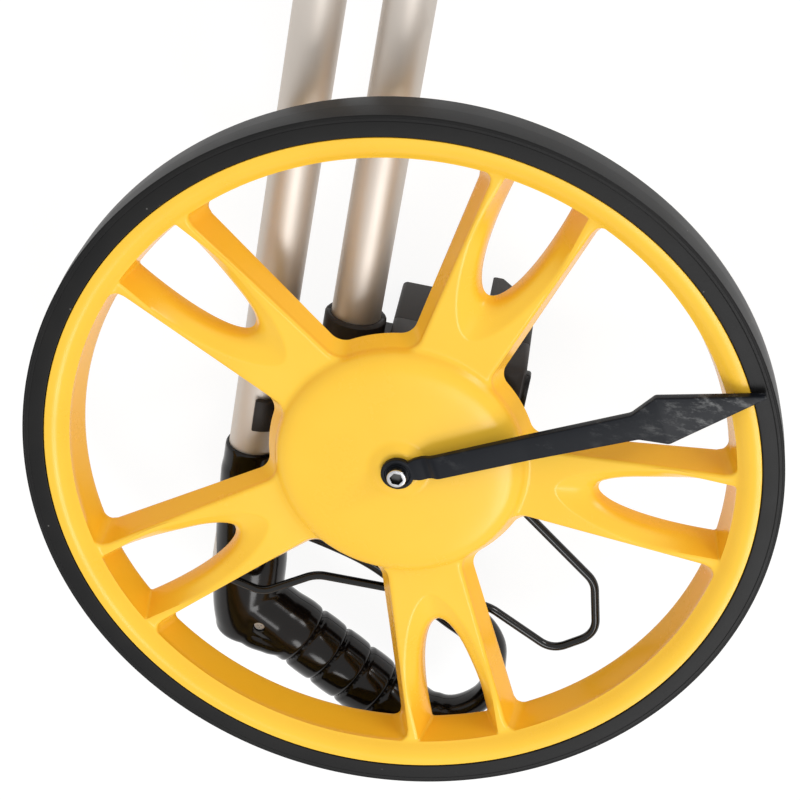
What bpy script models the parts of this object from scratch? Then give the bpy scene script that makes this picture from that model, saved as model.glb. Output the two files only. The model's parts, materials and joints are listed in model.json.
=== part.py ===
# Measuring wheel with a folding two-tube handle, lying on its back in its folded state.
# Metres, +Z up. The wheel's axis is +Z through the origin, the tubes run along +Y, and
# the back of the counter housing lies in the plane z = 0.

import math

import bmesh
import bpy
from mathutils import Matrix, Vector

# General clearances and resolutions
CLEARANCE = 0.0003
OVERRUN = 0.002
ROUND_SEGMENTS = 60
TUBE_SEGMENTS = 28
SMALL_SEGMENTS = 20
POST_SEGMENTS = 16
SCREW_SEGMENTS = 12
HEX_SIDES = 6
FILLET_STEPS = 4
SMOOTH_ANGLE = 35.0
UPRIGHT_SHARE = 0.9
WELD = 0.000005

# Tyre: one metre round its tread
TYRE_RADIUS = 0.15915
TYRE_WIDTH = 0.0213
TYRE_WALL = 0.0092
TYRE_EDGE = 0.0011
TYRE_CROWN = 0.0003
KEY_WIDTH = 0.0074
KEY_DEPTH = 0.0030
TREAD_LINE = 0.0026

# Wheel moulding: rim, web and domed hub, heights measured down from the tyre's front side
LIP_WIDTH = 0.0068
LIP_ROUND = 0.0014
LIP_DROP = 0.0050
WEB_DROP_RIM = 0.0050
WEB_DROP_HUB = 0.0120
WEB_BACK = 0.0013
RIM_BACK_INSET = 0.01265
RIM_BACK_FLARE = 0.0040
RIM_STEPS = 8
HUB_STEPS = 4
HUB_RADIUS = 0.0533
HUB_BACK_RADIUS = 0.0570
HUB_BOSS_BACK_RADIUS = 0.0150
HUB_BOSS_BACK = 0.0012
HUB_BORE = 0.0057
HUB_NOSE_DROP = 0.0046
HUB_NOSE_RADIUS = 0.0080
HUB_NOSE_FOOT = 0.0125
HUB_FACE_DROP = 0.0066
DOME_SHARES = ((0.68, 0.09), (0.79, 0.17), (0.865, 0.33), (0.94, 0.62))

# Spokes: five, each forking into two branches round a pointed window
SPOKE_COUNT = 5
SPOKE_ANGLE = 2.6
SPOKE_FRONT_ROOT = 0.0165
SPOKE_FRONT_END = 0.0222
SPOKE_BACK_ROOT = 0.0205
SPOKE_BACK_END = 0.0268
SPOKE_ROOT_AT = 0.0600
SPOKE_END_INSET = 0.00965
SPOKE_EDGE = 0.0015
POCKET_HUB_FILLET = 0.0075
POCKET_RIM_FILLET = 0.0045
WINDOW_BACK_TIP = 0.0840
WINDOW_BACK_HALF = 0.0126
WINDOW_FRONT_TIP = 0.0665
WINDOW_FRONT_HALF = 0.0190
WINDOW_EDGE = 0.0008
WINDOW_FILLET = 0.0030
WINDOW_MID_SHARE = 0.34
WINDOW_BACK_POWER_SHARE = 0.50
WINDOW_FRONT_POWER_SHARE = 0.60
WINDOW_STEPS = 9

# Hollows moulded into the back of the wheel
HUB_CELL_COUNT = 10
HUB_CELL_INNER = 0.0180
HUB_CELL_OUTER = 0.0495
HUB_CELL_FLOOR = 0.0035
RIB_WIDTH = 0.0026
NECK_CELL_NEAR = 0.0600
NECK_CELL_FAR = 0.0690
NECK_CELL_HALF = 0.0125
NECK_CELL_FLOOR = 0.0032
BRANCH_CELL_NEAR = 0.0960
BRANCH_CELL_MARGIN = 0.0035
BRANCH_CELL_HALF = 0.0036
BRANCH_CELL_FLOOR = 0.0040
CELL_DRAFT_SHARE = 0.70

# Axle, its sleeve bushes, pointer and front bolt
AXLE_RADIUS = 0.0032
AXLE_FLANGE_RADIUS = 0.0080
AXLE_FLANGE = 0.0020
AXLE_SHOULDER_RADIUS = 0.0052
AXLE_SHOULDER = 0.0030
BUSH_WALL = 0.0019
BUSH_LENGTH = 0.0060
WASHER_RADIUS = 0.0052
WASHER_THICKNESS = 0.0007
BOLT_SHANK_RADIUS = 0.0016
BOLT_SHANK = 0.0140
BOLT_HEAD_RADIUS = 0.0041
BOLT_HEAD = 0.0033
BOLT_SOCKET_RADIUS = 0.0023
BOLT_SOCKET_DEPTH = 0.0020
BOLT_EDGE = 0.0005
POINTER_ANGLE = 27.6
POINTER_BOSS_RADIUS = 0.00705
POINTER_BOSS = 0.0025
POINTER_BOSS_DROP = 0.0040
POINTER_TIP_INSET = 0.00365
POINTER_THICKNESS = 0.0039
POINTER_ROOT_HALF = 0.0053
POINTER_NECK_HALF = 0.0052
POINTER_SHOULDER_HALF = 0.0109
POINTER_TIP_HALF = 0.0006
POINTER_LIFT = 0.0047
POINTER_RISE = 0.0012
POINTER_STATION_SHARES = (0.030, 0.090, 0.122, 0.360, 0.655, 0.730, 1.0)
POINTER_EDGE = 0.0005

# Counter housing: two shells that meet on the tubes' centre plane, with a raised hood
HOUSING_DEPTH = 0.0620
HOUSING_WALL = 0.0018
HOUSING_LEFT = -0.0148
HOUSING_BOTTOM = -0.0390
HOUSING_TOP = 0.0480
HOUSING_RIGHT = 0.0444
HOUSING_EDGE = 0.0010
HOUSING_FRONT_EDGE = 0.0035
HOOD_LEFT = 0.0236
HOOD_CHAMFER_FROM = 0.0280
HOOD_RIGHT = 0.0420
HOOD_CHAMFER_RISE = 0.0190
HOOD_DEPTH = 0.0280
HOOD_TOP = 0.0580
CORNER_SMALL = 0.0012
CORNER_TOP = 0.0022
CORNER_BOTTOM_LEFT = 0.0080
CORNER_BOTTOM_RIGHT = 0.0120
WHEEL_CLEARANCE = 0.0027
SPLIT_GAP = 0.0003

# Tube socket on the housing's left side, and the clip beside it
LOWER_TUBE_X = -0.0310
SOCKET_RADIUS = 0.0133
SOCKET_TOP = 0.0460
SOCKET_BOTTOM = -0.0240
SOCKET_WEB_TOP = 0.0350
SOCKET_WEB_HALF = 0.0110
LEG_LEFT = -0.0400
LEG_TOP = 0.0260
LEG_WALL = 0.0025
CLIP_TOP = 0.0015
CLIP_LENGTH = 0.0150
CLIP_WALL = 0.0026
CLIP_ROUND = 0.0020
CLIP_BASE_HALF = 0.0080

# Posts and screws that hold the shells together
POST_RADIUS = 0.0044
POST_INSET = 0.0060
POST_CORNER_INSET = 0.0075
POST_BUTTON_INSET = 0.0120
SCREW_SHANK_RADIUS = 0.0013
SCREW_HEAD_RADIUS = 0.0025
SCREW_HEAD = 0.0016
SCREW_BITE = 0.0095
SCREW_SINK = 0.0200
SCREW_SLOT_WIDTH = 0.0007
SCREW_SLOT_DEPTH = 0.0007
GRIP_SCREW_LENGTH = 0.0200

# Counter: gear train, number drums and carry pinions
GEAR_MODULE = 0.00095
GEAR_THICKNESS = 0.0037
DRIVE_TEETH = 12
IDLER_TEETH = 28
BACKLASH_SHARE = 0.26
ADDENDUM_SHARE = 0.85
DEDENDUM_SHARE = 1.15
PRESSURE_ANGLE = 20.0
FLANK_STEPS = 1
SLEEVE_RADIUS = 0.0066
GEAR_NECK_WALL = 0.0012
DRIVE_PLUG = 0.0030
DRUM_COUNT = 5
DRUM_AT_X = 0.0110
DRUM_RADIUS = 0.0100
DRUM_WIDTH = 0.0068
DRUM_SHAFT_RADIUS = 0.0018
DRUM_WINDOW_GAP = 0.0008
PINION_RADIUS = 0.0026
PINION_ROOT_RADIUS = 0.0017
PINION_TEETH = 8
PINION_LENGTH = 0.0036
PINION_SHAFT_RADIUS = 0.0009
IDLER_PIN_RADIUS = 0.0015
IDLER_BOSS_RADIUS = 0.0040
LENS_HALF_WIDTH = 0.0070
LENS_MARGIN = 0.0010

# Reset button in the housing's right wall
BUTTON_TOP = 0.0440
BUTTON_BOTTOM = 0.0190
BUTTON_DROP = 0.0064
BUTTON_HALF_DEPTH = 0.0022
BUTTON_PROUD = 0.0022
BUTTON_FLANGE = 0.0022
BUTTON_FLANGE_LIP = 0.0018
BUTTON_TRAVEL = 0.0020

# Kickstand: bent wire that turns on a leg let into the housing's front
WIRE_RADIUS = 0.0019
WIRE_GAP = 0.0041
WIRE_BEND = 0.0065
WIRE_EASE = 0.0045
WIRE_LEG_BEND = 0.0030
WIRE_LEG_LENGTH = 0.0080
WIRE_SIDES = 8
WIRE_BEND_STEPS = 3
STAND_PIVOT_X = 0.0505
STAND_PIVOT_Y = -0.0170
STAND_EAR_DROP = 0.0055
STAND_EAR_HEIGHT = 0.0100
STAND_EAR_ROOT = 0.0075
STAND_ROUTE_SHARES = (
    # places of the wire's corners, as shares of the tyre's radius
    (0.585, -0.313),
    (0.624, -0.480),
    (0.515, -0.561),
    (0.316, -0.461),
    (-0.174, -0.470),
    (-0.313, -0.564),
    (-0.452, -0.529),
    (-0.534, -0.597),
)
STAND_WASHER_RADIUS = 0.0045
STAND_WASHER = 0.0008
STAND_BOSS_RADIUS = 0.0045

# Tubes and fold joint
TUBE_RADIUS = 0.0106
TUBE_WALL = 0.0012
TUBE_DROP = 0.0255
UPPER_TUBE_X = -0.0662
TUBE_TOP = 0.3780
LOWER_TUBE_BOTTOM = -0.0180
UPPER_TUBE_BOTTOM = -0.0900
FOLD_Y = 0.3950
FOLD_COLLAR_RADIUS = 0.0135
FOLD_PLUG = 0.0220
LUG_RADIUS = 0.0090
LUG_LAYER = 0.0066
FOLD_PIN_RADIUS = 0.0030
FOLD_PIN_HEAD_RADIUS = 0.0058
FOLD_PIN_HEAD = 0.0026
FOLD_NUT_RADIUS = 0.0056
FOLD_NUT_HEIGHT = 0.0065
LOCK_RADIUS = 0.0040
LOCK_LENGTH = 0.0085
LOCK_PROUD = 0.0024
LOCK_AT = 0.0105

# Grip: head round the upper tube, ribbed handle and closed guard
GRIP_TOP = -0.0270
HEAD_LENGTH = 0.1086
HEAD_SHIFT = 0.0096
HEAD_HALF = 0.0166
HEAD_DEPTH_HALF = 0.0150
HEAD_STATION_SHARES = (
    # share of the head's length, of its shift towards the handle, half width, half depth
    (0.000, 0.00, 0.73, 0.81),
    (0.090, 0.00, 0.73, 0.81),
    (0.115, 0.02, 0.77, 0.84),
    (0.230, 0.17, 0.82, 0.89),
    (0.370, 0.42, 0.92, 0.95),
    (0.510, 0.65, 1.00, 0.99),
    (0.650, 0.75, 1.00, 1.00),
    (0.780, 0.75, 0.95, 0.98),
    (0.875, 0.79, 0.88, 0.93),
    (0.950, 0.94, 0.80, 0.83),
    (0.985, 0.98, 0.67, 0.64),
    (1.000, 1.00, 0.48, 0.40),
)
HANDLE_ANGLE = -30.5
HANDLE_START_X = -0.0560
HANDLE_START_Y = -0.1080
HANDLE_LENGTH = 0.1220
HANDLE_HALF = 0.0150
HANDLE_DEPTH_HALF = 0.0145
HANDLE_GROOVES = 5
HANDLE_GROOVE_FIRST_SHARE = 0.254
HANDLE_GROOVE_PITCH_SHARE = 0.119
HANDLE_GROOVE_HALF = 0.0012
HANDLE_GROOVE_DEPTH = 0.0012
HANDLE_BULGE = 0.0009
HANDLE_END_SHARES = ((0.0, 0.95), (0.6, 0.72), (0.9, 0.42))
GUARD_HALF = 0.0050
GUARD_DEPTH_HALF = 0.0080
GUARD_STEPS = 2
GUARD_ROUTE_SHARES = (
    # places beside and above the handle's start, as shares of the handle's length, and
    # the bar's share of its half width there
    (0.016, 0.385, 1.0),
    (0.254, 0.336, 1.0),
    (0.426, 0.282, 1.0),
    (0.590, 0.193, 1.1),
    (0.741, 0.110, 1.3),
    (0.840, 0.070, 1.7),
    (0.914, 0.000, 1.5),
    (0.947, -0.082, 1.1),
    (0.953, -0.164, 1.0),
    (0.922, -0.254, 1.1),
    (0.836, -0.324, 1.1),
    (0.721, -0.340, 1.1),
)
GRIP_SIDES = 18
GUARD_SIDES = 12
GRIP_SCREW_SHARES = ((0.053, -0.053), (0.787, -0.426))
GRIP_SCREW_SINK = 0.0022

# Heights worked out from the sizes above
TYRE_BACK_Z = HOUSING_DEPTH + WHEEL_CLEARANCE
TYRE_FRONT_Z = TYRE_BACK_Z + TYRE_WIDTH
WEB_BACK_Z = TYRE_BACK_Z + WEB_BACK
HUB_BACK_Z = TYRE_BACK_Z - HUB_BOSS_BACK
RIM_RADIUS = TYRE_RADIUS - TYRE_WALL - CLEARANCE
RIM_BACK_RADIUS = RIM_RADIUS - RIM_BACK_INSET
SPOKE_END_AT = RIM_RADIUS - SPOKE_END_INSET
POINTER_REACH = TYRE_RADIUS - POINTER_TIP_INSET
TUBE_HEIGHT = HOUSING_DEPTH - TUBE_DROP
SCREW_LENGTH = TUBE_HEIGHT + SCREW_BITE
WIRE_HEIGHT = TUBE_HEIGHT + HEAD_DEPTH_HALF + WIRE_GAP + WIRE_RADIUS
STAND_EAR_TOP = WIRE_HEIGHT - STAND_EAR_DROP
STAND_EAR_BOTTOM = STAND_EAR_TOP - STAND_EAR_HEIGHT
WIRE_LEG_END = STAND_EAR_TOP - WIRE_LEG_LENGTH
BUTTON_HEIGHT = HOUSING_DEPTH - BUTTON_DROP
INNER_BACK_Z = HOUSING_WALL
INNER_FRONT_Z = HOUSING_DEPTH - HOUSING_WALL
GEAR_TOP_Z = INNER_FRONT_Z - CLEARANCE
GEAR_BOTTOM_Z = GEAR_TOP_Z - GEAR_THICKNESS
AXLE_TOP_Z = TYRE_FRONT_Z - POINTER_BOSS_DROP - WASHER_THICKNESS - 2 * CLEARANCE
POINTER_BOSS_Z = TYRE_FRONT_Z - POINTER_BOSS_DROP
FOLD_X = (LOWER_TUBE_X + UPPER_TUBE_X) / 2

COLOURS = {
    "yellow_plastic": ((0.90, 0.55, 0.055), 0.38, 0.0),
    "black_rubber": ((0.018, 0.018, 0.019), 0.62, 0.0),
    "housing_plastic": ((0.045, 0.040, 0.037), 0.55, 0.0),
    "grip_plastic": ((0.010, 0.008, 0.007), 0.16, 0.0),
    "pointer_plastic": ((0.022, 0.023, 0.027), 0.38, 0.0),
    "tube_metal": ((0.58, 0.57, 0.56), 0.33, 1.0),
    "bright_metal": ((0.62, 0.62, 0.63), 0.18, 1.0),
    "steel": ((0.40, 0.40, 0.41), 0.35, 1.0),
    "wire_enamel": ((0.010, 0.010, 0.011), 0.22, 0.0),
    "counter_white": ((0.80, 0.80, 0.78), 0.45, 0.0),
    "gear_plastic": ((0.70, 0.69, 0.64), 0.50, 0.0),
    "clear_lens": ((0.85, 0.88, 0.90), 0.05, 0.0),
    "bush_plastic": ((0.62, 0.60, 0.55), 0.50, 0.0),
}


def clear_scene():
    for item in list(bpy.data.objects):
        bpy.data.objects.remove(item, do_unlink=True)


def material(name, colour_name):
    colour, roughness, metallic = COLOURS[colour_name]
    made = bpy.data.materials.new(name)
    made.use_nodes = True
    shader = made.node_tree.nodes["Principled BSDF"]
    shader.inputs["Base Color"].default_value = (*colour, 1.0)
    shader.inputs["Roughness"].default_value = roughness
    shader.inputs["Metallic"].default_value = metallic
    made.diffuse_color = (*colour, 1.0)
    return made


def mesh_object(name, vertices, faces):
    """A closed mesh from its points and faces, with its faces turned outwards."""
    mesh = bpy.data.meshes.new(name)
    mesh.from_pydata([tuple(v) for v in vertices], [], faces)
    edit = bmesh.new()
    edit.from_mesh(mesh)
    bmesh.ops.recalc_face_normals(edit, faces=edit.faces)
    edit.to_mesh(mesh)
    edit.free()
    made = bpy.data.objects.new(name, mesh)
    bpy.context.scene.collection.objects.link(made)
    return made


def turned(name, profile, segments, start=0.0):
    """A closed (radius, height) profile turned about Z; a radius of zero closes on the axis."""
    vertices = []
    rings = []
    for radius, height in profile:
        if radius == 0.0:
            rings.append([len(vertices)] * segments)
            vertices.append((0.0, 0.0, height))
            continue
        rings.append(list(range(len(vertices), len(vertices) + segments)))
        for step in range(segments):
            angle = start + math.tau * step / segments
            vertices.append((radius * math.cos(angle), radius * math.sin(angle), height))
    faces = []
    for index, ring in enumerate(rings):
        following = rings[(index + 1) % len(rings)]
        for step in range(segments):
            after = (step + 1) % segments
            corners = [ring[step], ring[after], following[after], following[step]]
            corners = list(dict.fromkeys(corners))
            if len(corners) > 2:
                faces.append(corners)
    return mesh_object(name, vertices, faces)


def lofted(name, loops):
    """A solid through loops of equally many points, closed by a flat cap at each end."""
    count = len(loops[0])
    vertices = [point for loop in loops for point in loop]
    faces = [list(range(count)), list(range(count * (len(loops) - 1), count * len(loops)))]
    for level in range(len(loops) - 1):
        low = level * count
        high = low + count
        for step in range(count):
            after = (step + 1) % count
            faces.append([low + step, low + after, high + after, high + step])
    return mesh_object(name, vertices, faces)


def prism(name, outline, bottom, top):
    return lofted(name, [[(x, y, bottom) for x, y in outline], [(x, y, top) for x, y in outline]])


def box(name, low, high):
    outline = [(low[0], low[1]), (high[0], low[1]), (high[0], high[1]), (low[0], high[1])]
    return prism(name, outline, low[2], high[2])


def cylinder(name, radius, bottom, top, centre=(0.0, 0.0), segments=SMALL_SEGMENTS, edge=0.0):
    if edge:
        profile = [(0.0, bottom), (radius - edge, bottom), (radius, bottom + edge)]
        profile += [(radius, top - edge), (radius - edge, top), (0.0, top)]
    else:
        profile = [(0.0, bottom), (radius, bottom), (radius, top), (0.0, top)]
    made = turned(name, profile, segments)
    made.data.transform(Matrix.Translation((centre[0], centre[1], 0.0)))
    return made


def ring(name, inner, outer, bottom, top, centre=(0.0, 0.0), segments=SMALL_SEGMENTS):
    made = turned(name, [(inner, bottom), (outer, bottom), (outer, top), (inner, top)], segments)
    made.data.transform(Matrix.Translation((centre[0], centre[1], 0.0)))
    return made


def along_y(made, x, z):
    """Lays a piece turned about Z down along +Y, with its axis at the given X and Z."""
    turn = Matrix.Rotation(math.radians(-90.0), 4, "X")
    made.data.transform(Matrix.Translation((x, 0.0, z)) @ turn)
    return made


def combined(target, other, operation):
    """Applies one exact Boolean to the target and removes the other solid."""
    modifier = target.modifiers.new("Combine", "BOOLEAN")
    modifier.operation = operation
    modifier.solver = "EXACT"
    modifier.object = other
    depsgraph = bpy.context.evaluated_depsgraph_get()
    result = bpy.data.meshes.new_from_object(target.evaluated_get(depsgraph))
    target.modifiers.clear()
    target.data = result
    bpy.data.objects.remove(other, do_unlink=True)
    return tidied(target)


def cut(target, *others):
    for other in others:
        combined(target, other, "DIFFERENCE")
    return target


def fused(target, *others):
    for other in others:
        combined(target, other, "UNION")
    return target


def tidied(target):
    """Welds doubled points and drops slivers that cuts leave, while the solid stays closed."""
    edit = bmesh.new()
    edit.from_mesh(target.data)
    bmesh.ops.remove_doubles(edit, verts=edit.verts, dist=WELD)
    bmesh.ops.dissolve_degenerate(edit, dist=WELD, edges=edit.edges)
    if all(edge.is_manifold for edge in edit.edges):
        edit.to_mesh(target.data)
    edit.free()
    return target


def finished(made, colour_name, parent=None, origin=None):
    """Names, colours and shades a piece, and moves its origin onto its joint's axis."""
    if origin is not None:
        made.data.transform(Matrix.Translation(-Vector(origin)))
        made.location = origin
    made.data.name = made.name
    made.data.materials.clear()
    made.data.materials.append(material(made.name, colour_name))
    made.data.shade_smooth()
    made.data.set_sharp_from_angle(angle=math.radians(SMOOTH_ANGLE))
    if parent is not None:
        made.parent = parent
    return made


def arc(centre, radius, start, end, steps):
    points = []
    for step in range(steps + 1):
        angle = start + (end - start) * step / steps
        points.append((centre[0] + radius * math.cos(angle), centre[1] + radius * math.sin(angle)))
    return points


def rounded_outline(corners, steps=FILLET_STEPS):
    """A closed outline through (x, y, radius) corners, each rounded by an arc."""
    points = []
    for index, (x, y, radius) in enumerate(corners):
        here = Vector((x, y))
        before = (Vector(corners[index - 1][:2]) - here).normalized()
        after = (Vector(corners[(index + 1) % len(corners)][:2]) - here).normalized()
        half = before.angle(after) / 2
        reach = radius / math.tan(half)
        middle = here + (before + after).normalized() * (radius / math.sin(half))
        first = here + before * reach - middle
        last = here + after * reach - middle
        start = math.atan2(first.y, first.x)
        sweep = (math.atan2(last.y, last.x) - start + math.pi) % math.tau - math.pi
        points += arc(middle, radius, start, start + sweep, steps)
    return points


def inset_corners(corners, distance):
    """The same corners moved inwards by a wall, for a counter-clockwise outline."""
    moved = []
    for index, (x, y, radius) in enumerate(corners):
        here = Vector((x, y))
        incoming = (here - Vector(corners[index - 1][:2])).normalized()
        outgoing = (Vector(corners[(index + 1) % len(corners)][:2]) - here).normalized()
        left_in = Vector((-incoming.y, incoming.x))
        left_out = Vector((-outgoing.y, outgoing.x))
        convex = incoming.cross(outgoing) > 0
        shift = (left_in + left_out) * (distance / (1 + left_in.dot(left_out)))
        inner = max(radius - distance, radius / 3) if convex else radius + distance
        moved.append((x + shift.x, y + shift.y, inner))
    return moved


def turned_points(points, degrees):
    angle = math.radians(degrees)
    cosine = math.cos(angle)
    sine = math.sin(angle)
    return [(cosine * x - sine * y, sine * x + cosine * y) for x, y in points]


# Wheel and tyre


def make_tyre():
    front = TYRE_FRONT_Z
    back = TYRE_BACK_Z
    middle = (front + back) / 2
    inner = TYRE_RADIUS - TYRE_WALL
    shoulder = TYRE_RADIUS - TYRE_CROWN
    key = KEY_WIDTH / 2 - CLEARANCE
    profile = [
        (inner, back),
        (TYRE_RADIUS - TREAD_LINE, back),
        (shoulder - TYRE_EDGE, back + TYRE_EDGE / 3),
        (shoulder, back + TYRE_EDGE),
        (TYRE_RADIUS, middle),
        (shoulder, front - TYRE_EDGE),
        (shoulder - TYRE_EDGE, front - TYRE_EDGE / 3),
        (TYRE_RADIUS - TREAD_LINE, front),
        (inner, front),
        (inner, middle + key),
        (inner - KEY_DEPTH, middle + key),
        (inner - KEY_DEPTH, middle - key),
        (inner, middle - key),
    ]
    return turned("tyre", profile, ROUND_SEGMENTS)


def web_height(radius):
    """Height of the web's front face, which rises from the hub to the rim."""
    rise = (WEB_DROP_HUB - WEB_DROP_RIM) / (SPOKE_END_AT - HUB_RADIUS)
    return TYRE_FRONT_Z - WEB_DROP_HUB + rise * (radius - HUB_RADIUS)


def rim_wall_radius(height):
    """Inside of the rim, which opens out from back to front."""
    lip_foot = RIM_RADIUS - LIP_WIDTH - LIP_ROUND * 2
    share = (height - WEB_BACK_Z) / (TYRE_FRONT_Z - LIP_DROP - WEB_BACK_Z)
    return RIM_BACK_RADIUS + (lip_foot - RIM_BACK_RADIUS) * min(share, 1.0) - CLEARANCE


def wheel_profile():
    front = TYRE_FRONT_Z
    middle = (TYRE_FRONT_Z + TYRE_BACK_Z) / 2
    lip = RIM_RADIUS - LIP_WIDTH
    face = front - HUB_FACE_DROP
    fall = WEB_DROP_HUB - HUB_FACE_DROP
    profile = [
        (HUB_BORE, HUB_BACK_Z),
        (HUB_BORE, front - HUB_NOSE_DROP),
        (HUB_NOSE_RADIUS, front - HUB_NOSE_DROP),
        (HUB_NOSE_FOOT, face),
    ]
    profile += [(HUB_RADIUS * out, face - fall * down) for out, down in DOME_SHARES]
    profile += [
        (HUB_RADIUS, front - WEB_DROP_HUB),
        (lip - LIP_ROUND * 2, web_height(lip - LIP_ROUND * 2)),
        (lip - LIP_ROUND, front - LIP_ROUND),
        (lip, front),
        (RIM_RADIUS - LIP_ROUND / 2, front),
        (RIM_RADIUS, front - LIP_ROUND / 2),
        (RIM_RADIUS, middle + KEY_WIDTH / 2),
        (RIM_RADIUS - KEY_DEPTH - CLEARANCE, middle + KEY_WIDTH / 2),
        (RIM_RADIUS - KEY_DEPTH - CLEARANCE, middle - KEY_WIDTH / 2),
        (RIM_RADIUS, middle - KEY_WIDTH / 2),
        (RIM_RADIUS, TYRE_BACK_Z + LIP_ROUND / 2),
        (RIM_RADIUS - LIP_ROUND / 2, TYRE_BACK_Z),
        (RIM_BACK_RADIUS + RIM_BACK_FLARE, TYRE_BACK_Z),
        (RIM_BACK_RADIUS + CLEARANCE, WEB_BACK_Z),
        (HUB_BOSS_BACK_RADIUS, WEB_BACK_Z),
        (HUB_BOSS_BACK_RADIUS, HUB_BACK_Z),
    ]
    return profile


def spoke_half(along, share):
    """Half width of a spoke's outside at a radius, from its back face (0) to its front (1)."""
    root = SPOKE_BACK_ROOT + (SPOKE_FRONT_ROOT - SPOKE_BACK_ROOT) * share
    end = SPOKE_BACK_END + (SPOKE_FRONT_END - SPOKE_BACK_END) * share
    return root + (end - root) * (along - SPOKE_ROOT_AT) / (SPOKE_END_AT - SPOKE_ROOT_AT)


def pocket_outline(share, rim_radius, grow):
    """Outline of the space between two spokes, set about the X axis.

    Its sides run along the spokes, its ends along the hub and the rim, and an arc that
    touches both rounds each corner.
    """
    half_step = math.pi / SPOKE_COUNT
    hub = HUB_BACK_RADIUS + (HUB_RADIUS - HUB_BACK_RADIUS) * share - grow
    side = []
    for along in (SPOKE_ROOT_AT, SPOKE_END_AT):
        half = spoke_half(along, share) - grow
        side.append(Vector((
            along * math.cos(half_step) + half * math.sin(half_step),
            half * math.cos(half_step) - along * math.sin(half_step),
        )))
    run = (side[1] - side[0]).normalized()
    inward = Vector((-run.y, run.x))
    points = []
    for radius, reach, sign in (
        (POCKET_HUB_FILLET, hub + POCKET_HUB_FILLET, -1),
        (POCKET_RIM_FILLET, rim_radius - POCKET_RIM_FILLET, 1),
    ):
        base = side[0] + inward * radius
        middle_term = base.dot(run)
        root = math.sqrt(middle_term ** 2 - base.dot(base) + reach ** 2)
        centre = base + run * (root - middle_term)
        on_side = math.atan2(-inward.y, -inward.x)
        on_circle = math.atan2(sign * centre.y, sign * centre.x)
        sweep = (on_circle - on_side + math.pi) % math.tau - math.pi
        bend = arc(centre, radius, on_side, on_side + sweep, FILLET_STEPS)
        points.append(bend if sign > 0 else bend[::-1])
    lower = points[0] + points[1]
    rim_end = points[1][-1]
    rim_angle = math.atan2(rim_end[1], rim_end[0])
    rim_arc = arc((0.0, 0.0), rim_radius, rim_angle, -rim_angle, RIM_STEPS)[1:-1]
    hub_start = points[0][0]
    hub_angle = math.atan2(hub_start[1], hub_start[0])
    hub_arc = arc((0.0, 0.0), hub, -hub_angle, hub_angle, HUB_STEPS)[1:-1]
    upper = [(x, -y) for x, y in reversed(lower)]
    return lower + rim_arc + upper + hub_arc


def window_outline(share, rim_radius, grow):
    """Outline of a spoke's pointed window, from its tip near the hub out to the rim."""
    tip = WINDOW_BACK_TIP + (WINDOW_FRONT_TIP - WINDOW_BACK_TIP) * share - grow
    half = WINDOW_BACK_HALF + (WINDOW_FRONT_HALF - WINDOW_BACK_HALF) * share + grow
    power = WINDOW_BACK_POWER_SHARE
    power += (WINDOW_FRONT_POWER_SHARE - WINDOW_BACK_POWER_SHARE) * share
    corner = math.sqrt(rim_radius ** 2 - (half - WINDOW_FILLET) ** 2)
    end = corner - WINDOW_FILLET
    upper = []
    for step in range(1, WINDOW_STEPS + 1):
        place = 1 - math.cos(math.pi / 2 * step / WINDOW_STEPS)
        width = half * (1 - (1 - place) ** 2) ** power
        upper.append((tip + (end - tip) * place, width))
    quarter = arc((end, half - WINDOW_FILLET), WINDOW_FILLET, math.pi / 2, 0.0, FILLET_STEPS)
    upper += quarter[1:]
    middle = [(rim_radius, 0.0)]
    lower = [(x, -y) for x, y in reversed(upper)]
    return [(tip, 0.0)] + upper + middle + lower


def web_cutter(name, outline_at, levels, angle):
    """A cutter through the web whose sides follow the outline of each level.

    A level gives the share of the way from back to front, the growth of the outline, and
    its height above the web's front, or nothing for the level behind the web.
    """
    loops = []
    for share, grow, above in levels:
        back = above is None
        height = WEB_BACK_Z if back else TYRE_FRONT_Z - WEB_DROP_RIM
        points = outline_at(share, rim_wall_radius(height), grow)
        loop = []
        for (x, y), (far_x, far_y) in zip(turned_points(points, angle), points):
            if back:
                level = WEB_BACK_Z
            else:
                front = web_height(math.hypot(far_x, far_y))
                level = WEB_BACK_Z + (front - WEB_BACK_Z) * share + above
            loop.append((x, y, level))
        loops.append(loop)
    floor = [(x, y, z - OVERRUN) for x, y, z in loops[0]]
    return lofted(name, [floor] + loops)


def make_wheel():
    wheel = turned("wheel", wheel_profile(), ROUND_SEGMENTS)
    step = 360.0 / SPOKE_COUNT
    pocket_levels = (
        (0.0, 0.0, None),
        (1.0, 0.0, -SPOKE_EDGE / 2),
        (1.0, SPOKE_EDGE, SPOKE_EDGE),
    )
    window_levels = (
        (0.0, 0.0, None),
        (WINDOW_MID_SHARE, 0.0, 0.0),
        (1.0, 0.0, -WINDOW_EDGE / 2),
        (1.0, WINDOW_EDGE, SPOKE_EDGE),
    )
    for spoke in range(SPOKE_COUNT):
        at = SPOKE_ANGLE + step * spoke
        cut(wheel, web_cutter("pocket", pocket_outline, pocket_levels, at + step / 2))
        cut(wheel, web_cutter("window", window_outline, window_levels, at))
    for cutter in hub_cells() + spoke_cells():
        cut(wheel, cutter)
    cut(wheel, cylinder("drive_recess", SLEEVE_RADIUS + CLEARANCE, HUB_BACK_Z - OVERRUN,
                        HUB_BACK_Z + DRIVE_PLUG + CLEARANCE, segments=HEX_SIDES))
    return tidied(wheel)


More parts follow.
